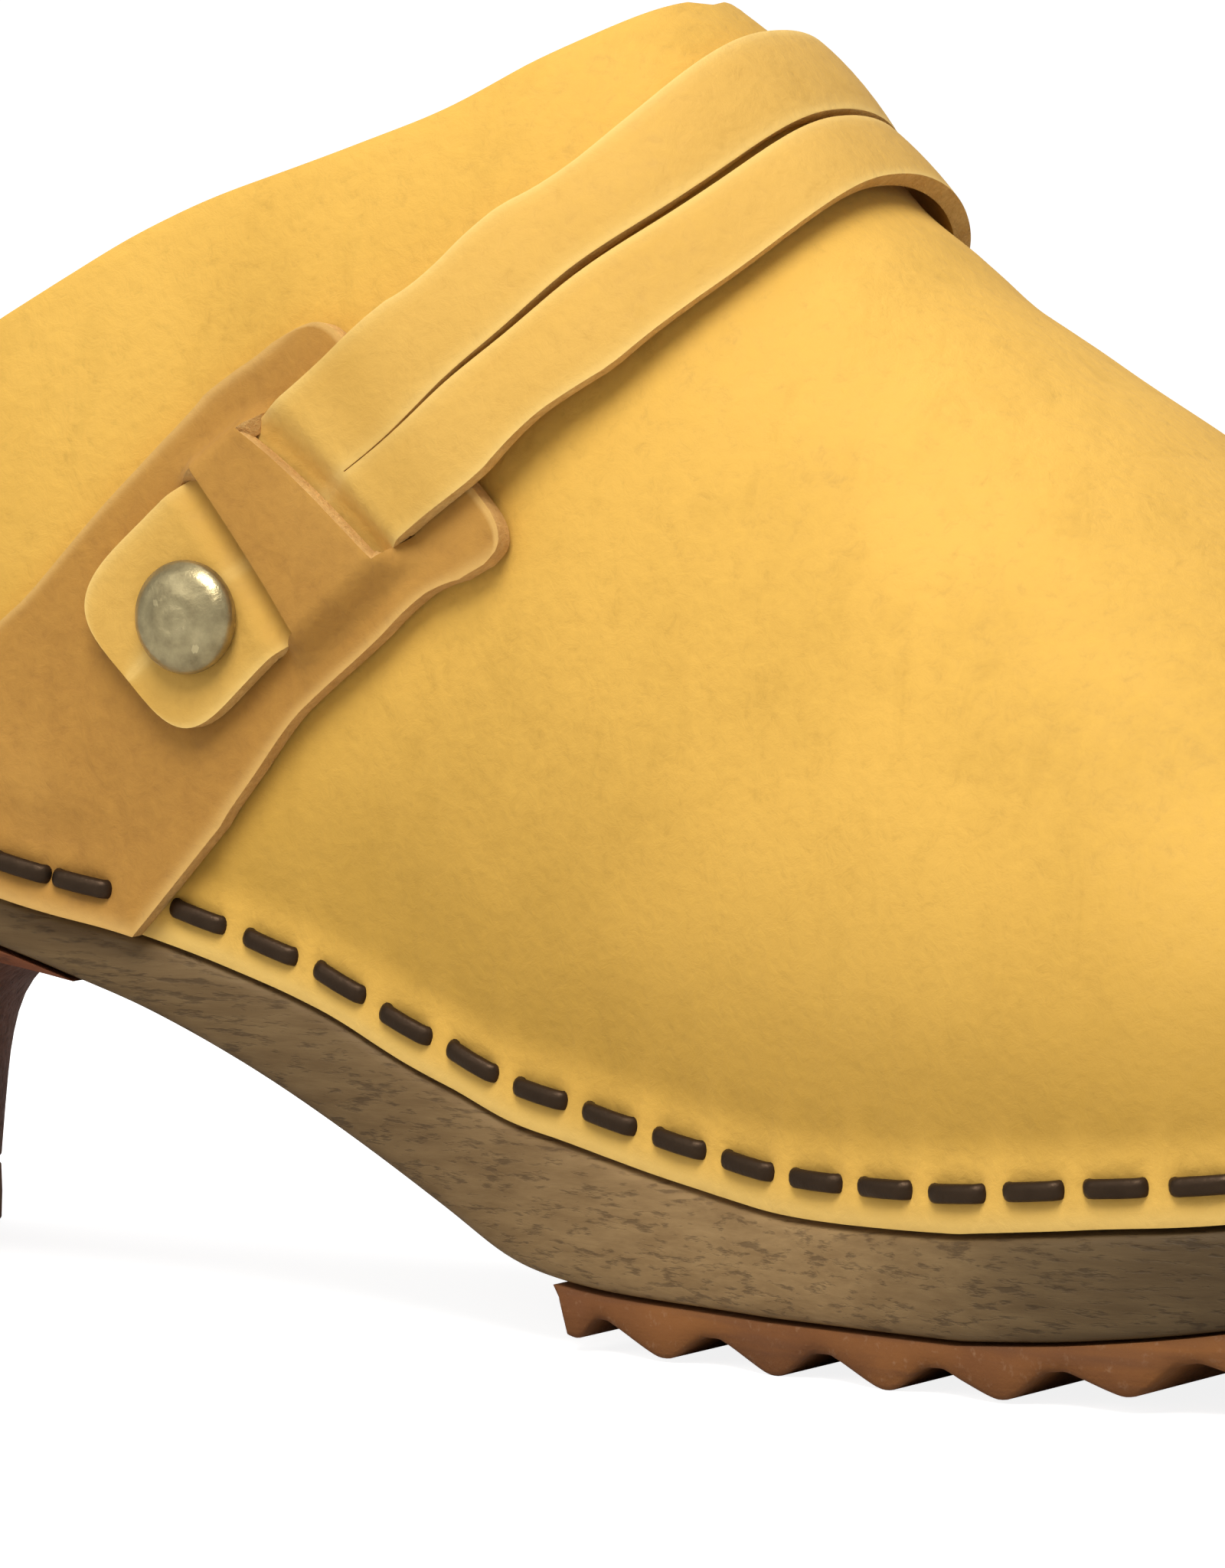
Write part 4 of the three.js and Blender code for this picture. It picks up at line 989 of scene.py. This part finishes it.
def make_strap():
    end = 2 * STRAP_MIDDLE
    tip = TONGUE * np.sin(np.linspace(0, math.pi / 2, 22))
    body = np.linspace(0, end, 330)
    s = np.concatenate([-tip[::-1], body[1:-1], end + tip])
    past = np.maximum(np.maximum(-s, s - end), 0) / TONGUE
    narrowing = np.maximum(1 - past**3.6, 0.004) ** (1 / 3.6)
    near = np.minimum(s, end - s)
    slit = 0.00006 + 0.00034 * smooth(near, SLIT_START, SLIT_START + 0.03)
    cells = np.sin(np.linspace(-1, 1, 11) * math.pi / 2)
    lanes = []
    for side, widest in ((-1, BACK_HALF), (1, FRONT_HALF)):
        half = widest * narrowing
        lanes.append((side * (half + slit) / 2)[:, None] + ((half - slit) / 2)[:, None] * cells)
    w = np.concatenate(lanes, 1)
    opened = near > SLIT_START
    w[:, 10] = np.where(opened, -slit, 0)
    w[:, 11] = np.where(opened, slit, 0)
    crown = np.concatenate([1 - cells**2, 1 - cells**2])
    swell = smooth(near, SLIT_START, SLIT_START + 0.02)[:, None] * crown
    lift = strap_lift(s[:, None], w) + STRAP_LEATHER + 0.00035 * swell
    base = on_strap(s[:, None], w, lift)
    base = on_strap(s[:, None], w, lift + 0.00008 * ripple(base, 0.02, 21))
    edge = np.concatenate([cells, cells]) ** 8 * np.array([1] * 10 + [0.6] * 2 + [1] * 10)
    # Painted shade on the strap: darker bands beside the tab's slots, where the strap dips under the bridge.
    painted_shade = 0.8 * np.exp(-((near - 0.026) / 0.004) ** 2) + 0.8 * np.exp(-((near - 0.0065) / 0.0025) ** 2)
    rows, columns = w.shape
    missing = np.zeros((rows - 1, columns - 1), bool)
    missing[:, 10] = opened[:-1] & opened[1:]
    faces = grid_faces(rows, columns, missing)[:, ::-1]
    piece = make_piece("instep_strap", base.reshape(-1, 3), faces, [strap_leather, strap_edge], {
        "edge": np.broadcast_to(edge, w.shape).ravel(),
        "painted_shade": np.broadcast_to(painted_shade[:, None], w.shape).ravel(),
    })
    finish_edges(piece, STRAP_LEATHER, 1, 0.00035, 3, 50)
    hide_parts("strap")
    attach(piece, "root")


make_strap()

# ---- Tabs ----
# A leather tab on each side, caught under the staples at its foot and held by the rivet. Two slots
# across it leave a bridge that the strap passes under.

BRIDGE_LIFT = 3.6 * GAP + STRAP_LEATHER
SLOT_BACK = -0.0104  # ends of the slots, across the strap
SLOT_FRONT = 0.0086
TAB_LOW = -0.012  # below here the tab's edges run straight to its foot

tab_back = through((TAB_LOW, -0.0146), (0.0036, -0.0152), (0.0139, -0.0157), (0.018, -0.0161))
tab_front = through(
    (TAB_LOW, 0.0149), (-0.0054, 0.0144), (0.0031, 0.0135), (0.0164, 0.0137), (0.0226, 0.0149),
)
tab_top = through(
    (-0.0161, 0.0205), (-0.0155, 0.023), (-0.0144, 0.0253), (-0.0125, 0.0266), (-0.0099, 0.0271),
    (0.0095, 0.031), (0.012, 0.0313), (0.0136, 0.0308), (0.0145, 0.0298), (0.0149, 0.0282),
)

tab_leather = leather_material(
    "tab_leather", (0.54, 0.285, 0.06), (0.41, 0.2, 0.036), (0.24, 0.105, 0.018), (0.62, 0.37, 0.11),
)
tab_edge = cut_edge_material("tab_cut_edge", (0.75, 0.47, 0.17), (0.46, 0.24, 0.07))


def place_at(x, z):
    """The angle round the skin on the outer side at a place seen from the side."""
    share = np.clip((z - feather(x)) / (ridge(x) - feather(x)), 0, 1)
    return np.arcsin(share ** (squareness(x / LENGTH) / 2))


def make_tab(name, side, node):
    u = (1 - np.cos(np.linspace(0, math.pi, 49))) / 2
    # Bands of rows: below the slots, the lower slot, the bridge, the upper slot, and the top.
    counts = (24, 8, 14, 8, 17)
    level = np.repeat(np.arange(5), counts)
    stops = (TAB_LOW, BRIDGE_START - SLOT, BRIDGE_START, BRIDGE_END, BRIDGE_END + SLOT, TAB_END)
    shares = [np.linspace(0, 1, n, endpoint=n == counts[-1]) for n in counts]
    nominal = np.concatenate([a + (b - a) * share for a, b, share in zip(stops, stops[1:], shares)])
    stop_at = [lambda w, s=s: s + 0 * w for s in stops[:3]] + [bridge_end, slot_end, tab_top]
    # Two of the columns run along the ends of the slots.
    ends = zip(tab_back(nominal), tab_front(nominal))
    w = np.stack([np.interp(u, (0, u[12], u[36], 1), (a, SLOT_BACK, SLOT_FRONT, b)) for a, b in ends])
    s = np.empty_like(w)
    for band, share in enumerate(shares):
        rows_of = level == band
        start, stop = stop_at[band](w[rows_of]), stop_at[band + 1](w[rows_of])
        s[rows_of] = start + (stop - start) * share[:, None]
    x, angle = strap_skin(s, w)
    rise = smooth(w, SLOT_BACK - 0.002, SLOT_BACK + 0.0004)
    rise = rise * (1 - smooth(w, SLOT_FRONT - 0.0004, SLOT_FRONT + 0.003))
    within = smooth(s, BRIDGE_START - 0.0035, BRIDGE_START)
    within = within * (1 - smooth(s, bridge_end(w), bridge_end(w) + 0.0035))
    on_bridge = (s > BRIDGE_START - 1e-6) & (s < bridge_end(w) + 1e-6)
    within = np.where(on_bridge, 1, within)
    lift = GAP + (BRIDGE_LIFT - GAP) * rise * within
    # The foot runs from the lowest row down to the sole's edge.
    start = skin(x[0], angle[0])
    foot_x = TAB_FOOT[0] + (TAB_FOOT[1] - TAB_FOOT[0]) * u
    down = np.linspace(0, 1, 44, endpoint=False)[:, None]
    low_x = foot_x + (start[:, 0] - foot_x) * down
    low_z = feather(foot_x) + (start[:, 2] - feather(foot_x)) * down
    low_angle = place_at(low_x, low_z)
    x = np.concatenate([low_x, x])
    angle = np.concatenate([low_angle, angle])
    lift = np.concatenate([np.full(low_x.shape, GAP), lift])
    heights = np.maximum(skin(x, angle)[..., 2] - feather(x), 0)
    press = staple_press(x, heights, True) * (heights < 0.015)
    turn = angle if side < 0 else math.pi - angle
    base = skin(x, turn)
    lift = lift + TAB_LEATHER + press * 0.9 + 0.0001 * ripple(base, 0.02, 33 + side)
    points = lifted(x, turn, lift)
    rows, columns = x.shape
    band = np.concatenate([np.full(len(low_x), 0), level])[:-1, None]
    full_w = np.concatenate([np.zeros(low_x.shape), w])
    mid_w = (full_w[:-1, :-1] + full_w[1:, 1:]) / 2
    slots = ((band == 1) | (band == 3)) & (mid_w > SLOT_BACK) & (mid_w < SLOT_FRONT)
    faces = grid_faces(rows, columns, slots)
    side_edge = np.exp(-(np.minimum(u, 1 - u) / 0.02) ** 2)
    edge = np.maximum(np.broadcast_to(side_edge, x.shape), np.exp(-(heights / 0.0012) ** 2))
    edge[-2:] = 1
    # Painted shade on the tab, in the staple dents.
    painted_shade = np.clip(-press / 0.0006, 0, 1)
    faces = faces[:, ::-1] if side < 0 else faces
    piece = make_piece(name, points.reshape(-1, 3), faces, [tab_leather, tab_edge], {
        "edge": edge.ravel(), "painted_shade": painted_shade.ravel(),
    })
    finish_edges(piece, TAB_LEATHER, 1, 0.00035, 3, 50)
    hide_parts(node)
    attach(piece, "root")


make_tab("tab_outer", -1, "outer_tab")
make_tab("tab_inner", 1, "inner_tab")

# ---- Rivets ----
# A domed cap of antique brass over strap, tab and upper on each side, on a post whose flange lies
# against the inside of the upper. Low rings are pressed into the cap.

rivet_metal = metal_material("rivet_metal", (0.74, 0.62, 0.34), (0.1, 0.07, 0.03), 0.26, 0.25)
CAP_SEAT = OVER_TAB + STRAP_LEATHER + GAP
CAP_RADIUS = 0.00525
CAP_HEIGHT = 0.0029
POST_RADIUS = 0.0015


def cap_profile():
    profile = [(0.0016, CAP_SEAT + 0.0014), (0.0018, CAP_SEAT), (CAP_RADIUS - 0.0005, CAP_SEAT),
               (CAP_RADIUS - 0.0001, CAP_SEAT + 0.0002), (CAP_RADIUS, CAP_SEAT + 0.0007)]
    for u in np.linspace(0, 1, 44)[1:]:
        r = CAP_RADIUS * math.cos(u * math.pi / 2) ** 0.8
        h = 0.0009 + (CAP_HEIGHT - 0.0009) * math.sin(u * math.pi / 2)
        rings = 0.00005 * math.cos((r / CAP_RADIUS) * 2 * math.pi * 2.5) * smooth(r, 0.0006, 0.0014)
        profile.append((r, CAP_SEAT + h + rings * smooth(CAP_RADIUS - r, 0.0001, 0.0006)))
    profile[-1] = (0.0, profile[-1][1])
    return [(0.0, CAP_SEAT + 0.0014)] + profile


def post_profile():
    top = -UPPER_LEATHER - GAP
    return [(0.0, top - 0.001), (0.0036, top - 0.001), (0.0043, top - 0.0007), (0.0046, top),
            (POST_RADIUS, top), (POST_RADIUS, CAP_SEAT + 0.0012), (0.0, CAP_SEAT + 0.0012)]


for name, side in (("outer", -1), ("inner", 1)):
    turn = RIVET_ANGLE if side < 0 else math.pi - RIVET_ANGLE
    seat = skin(RIVET_X, turn)
    outwards = slopes(RIVET_X, turn)[2]
    turned_piece(f"rivet_cap_{name}", cap_profile(), seat, outwards, rivet_metal, f"{name}_rivet_cap",
                 96)
    turned_piece(f"rivet_post_{name}", post_profile(), seat, outwards, rivet_metal, f"{name}_rivet_post",
                 48)

# ---- Staples ----
# Flat bronze-coloured wire staples, their crowns pressed into the leather in one row round the
# sole, and over the foot of each tab.

STAPLE_CROWN = 0.0066
STAPLE_WIRE = 0.0018
STAPLE_THICKNESS = 0.0013

staple_wire = metal_material("staple_wire", (0.06, 0.036, 0.02), (0.01, 0.006, 0.003), 0.38, 0.2)


def staple_shape():
    """One staple lying along X with its crown outwards along Z, and its legs turned inwards."""
    half = STAPLE_CROWN / 2 - STAPLE_THICKNESS / 2
    bend = 0.0007
    path = [(-half, -0.0016), (-half, -bend)]
    turns = np.linspace(0.3, math.pi / 2, 5)
    path += [(-half + bend * (1 - math.cos(a)), -bend * (1 - math.sin(a))) for a in turns]
    path += [(0, 0.0001)]
    path += [(-x, z) for x, z in path[-2::-1]]
    path = np.array(path)
    along = np.gradient(path, axis=0)
    along /= np.linalg.norm(along, axis=1, keepdims=True)
    normal = np.column_stack([-along[:, 1], along[:, 0]])
    section = [(math.copysign(abs(math.cos(a)) ** 0.85, math.cos(a)) * STAPLE_WIRE / 2,
                math.copysign(abs(math.sin(a)) ** 0.85, math.sin(a)) * STAPLE_THICKNESS / 2)
               for a in np.linspace(0, 2 * math.pi, 14, endpoint=False)]
    points = np.array([[p[0] + n[0] * t, w, p[1] + n[1] * t]
                       for p, n in zip(path, normal) for w, t in section])
    faces = grid_faces(len(path), len(section), loop=True).tolist()
    faces += [list(range(len(section)))[::-1], list(range(len(points) - len(section), len(points)))]
    mesh = bpy.data.meshes.new("staple_shape")
    mesh.from_pydata(points.tolist(), [], faces)
    bm = bmesh.new()
    bm.from_mesh(mesh)
    bmesh.ops.recalc_face_normals(bm, faces=bm.faces)
    bm.to_mesh(mesh)
    bm.free()
    mesh.polygons.foreach_set("use_smooth", [True] * len(mesh.polygons))
    return bpy.data.objects.new("staple_shape", mesh)


def staple_tree():
    """Sets one staple at every point of a row, turned to the point's 'along' and 'outwards'."""
    tree = bpy.data.node_groups.new("staple_row", "GeometryNodeTree")
    tree.interface.new_socket("Row", in_out="INPUT", socket_type="NodeSocketGeometry")
    shape = tree.interface.new_socket("Staple", in_out="INPUT", socket_type="NodeSocketObject")
    metal = tree.interface.new_socket("Metal", in_out="INPUT", socket_type="NodeSocketMaterial")
    tree.interface.new_socket("Staples", in_out="OUTPUT", socket_type="NodeSocketGeometry")
    inner = tree.nodes.new("NodeGroupInput")
    outer = tree.nodes.new("NodeGroupOutput")
    info = add_node(tree, "GeometryNodeObjectInfo", {"Object": inner.outputs["Staple"]})
    ways = [add_node(tree, "GeometryNodeInputNamedAttribute", {"Name": name}, data_type="FLOAT_VECTOR")
            for name in ("along", "outwards")]
    turn = add_node(tree, "FunctionNodeAxesToRotation", primary_axis="X", secondary_axis="Z")
    tree.links.new(ways[0].outputs["Attribute"], turn.inputs["Primary Axis"])
    tree.links.new(ways[1].outputs["Attribute"], turn.inputs["Secondary Axis"])
    placed = add_node(tree, "GeometryNodeInstanceOnPoints", {
        "Points": inner.outputs["Row"],
        "Instance": info.outputs["Geometry"],
        "Rotation": turn.outputs["Rotation"],
    })
    whole = add_node(tree, "GeometryNodeRealizeInstances", {"Geometry": placed.outputs["Instances"]})
    painted = add_node(tree, "GeometryNodeSetMaterial", {
        "Geometry": whole.outputs["Geometry"], "Material": inner.outputs["Metal"],
    })
    tree.links.new(painted.outputs["Geometry"], outer.inputs["Staples"])
    return tree, shape.identifier, metal.identifier


def make_staples(name, side, xs, tab_staples, nodes):
    angle = row_angle(xs)
    turn = angle if side < 0 else math.pi - angle
    lift = np.where(tab_staples, GAP + TAB_LEATHER, 0) - 0.0005
    points = lifted(xs, turn, lift + STAPLE_THICKNESS / 2)
    behind, ahead = np.maximum(xs - 0.001, 0.001), np.minimum(xs + 0.001, LENGTH - 0.0007)
    behind_angle, ahead_angle = row_angle(behind), row_angle(ahead)
    if side > 0:
        behind_angle, ahead_angle = math.pi - behind_angle, math.pi - ahead_angle
    along = skin(np.maximum(ahead, behind + 0.0002), ahead_angle) - skin(behind, behind_angle)
    along /= np.linalg.norm(along, axis=1, keepdims=True)
    outwards = slopes(xs, turn)[2]
    mesh = bpy.data.meshes.new(name + "_row")
    mesh.from_pydata((points + SHIFT).tolist(), [], [])
    for key, values in (("along", along), ("outwards", outwards)):
        ways = mesh.attributes.new(key, "FLOAT_VECTOR", "POINT")
        ways.data.foreach_set("vector", values.astype(np.float32).ravel())
    row = bpy.data.objects.new(name + "_row", mesh)
    bpy.context.scene.collection.objects.link(row)
    tree, shape_socket, metal_socket = staple_tree()
    setter = row.modifiers.new("staples", "NODES")
    setter.node_group = tree
    setter[shape_socket] = one_staple
    setter[metal_socket] = staple_wire
    bpy.context.view_layer.update()
    made = bpy.data.meshes.new_from_object(row.evaluated_get(bpy.context.evaluated_depsgraph_get()))
    bpy.data.objects.remove(row)
    piece = bpy.data.objects.new(name, made)
    bpy.context.scene.collection.objects.link(piece)
    if nodes:
        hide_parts(*nodes)
    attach(piece, "root")


one_staple = staple_shape()
bpy.context.scene.collection.objects.link(one_staple)
staple_nodes = [f"staple_{i:02d}" for i in range(1, len(staple_xs) + 1)]
make_staples("staples_outer", -1, staple_xs, over_tab, staple_nodes)
make_staples("staples_inner", 1, staple_xs[:-1], over_tab[:-1], [])
bpy.data.objects.remove(one_staple)
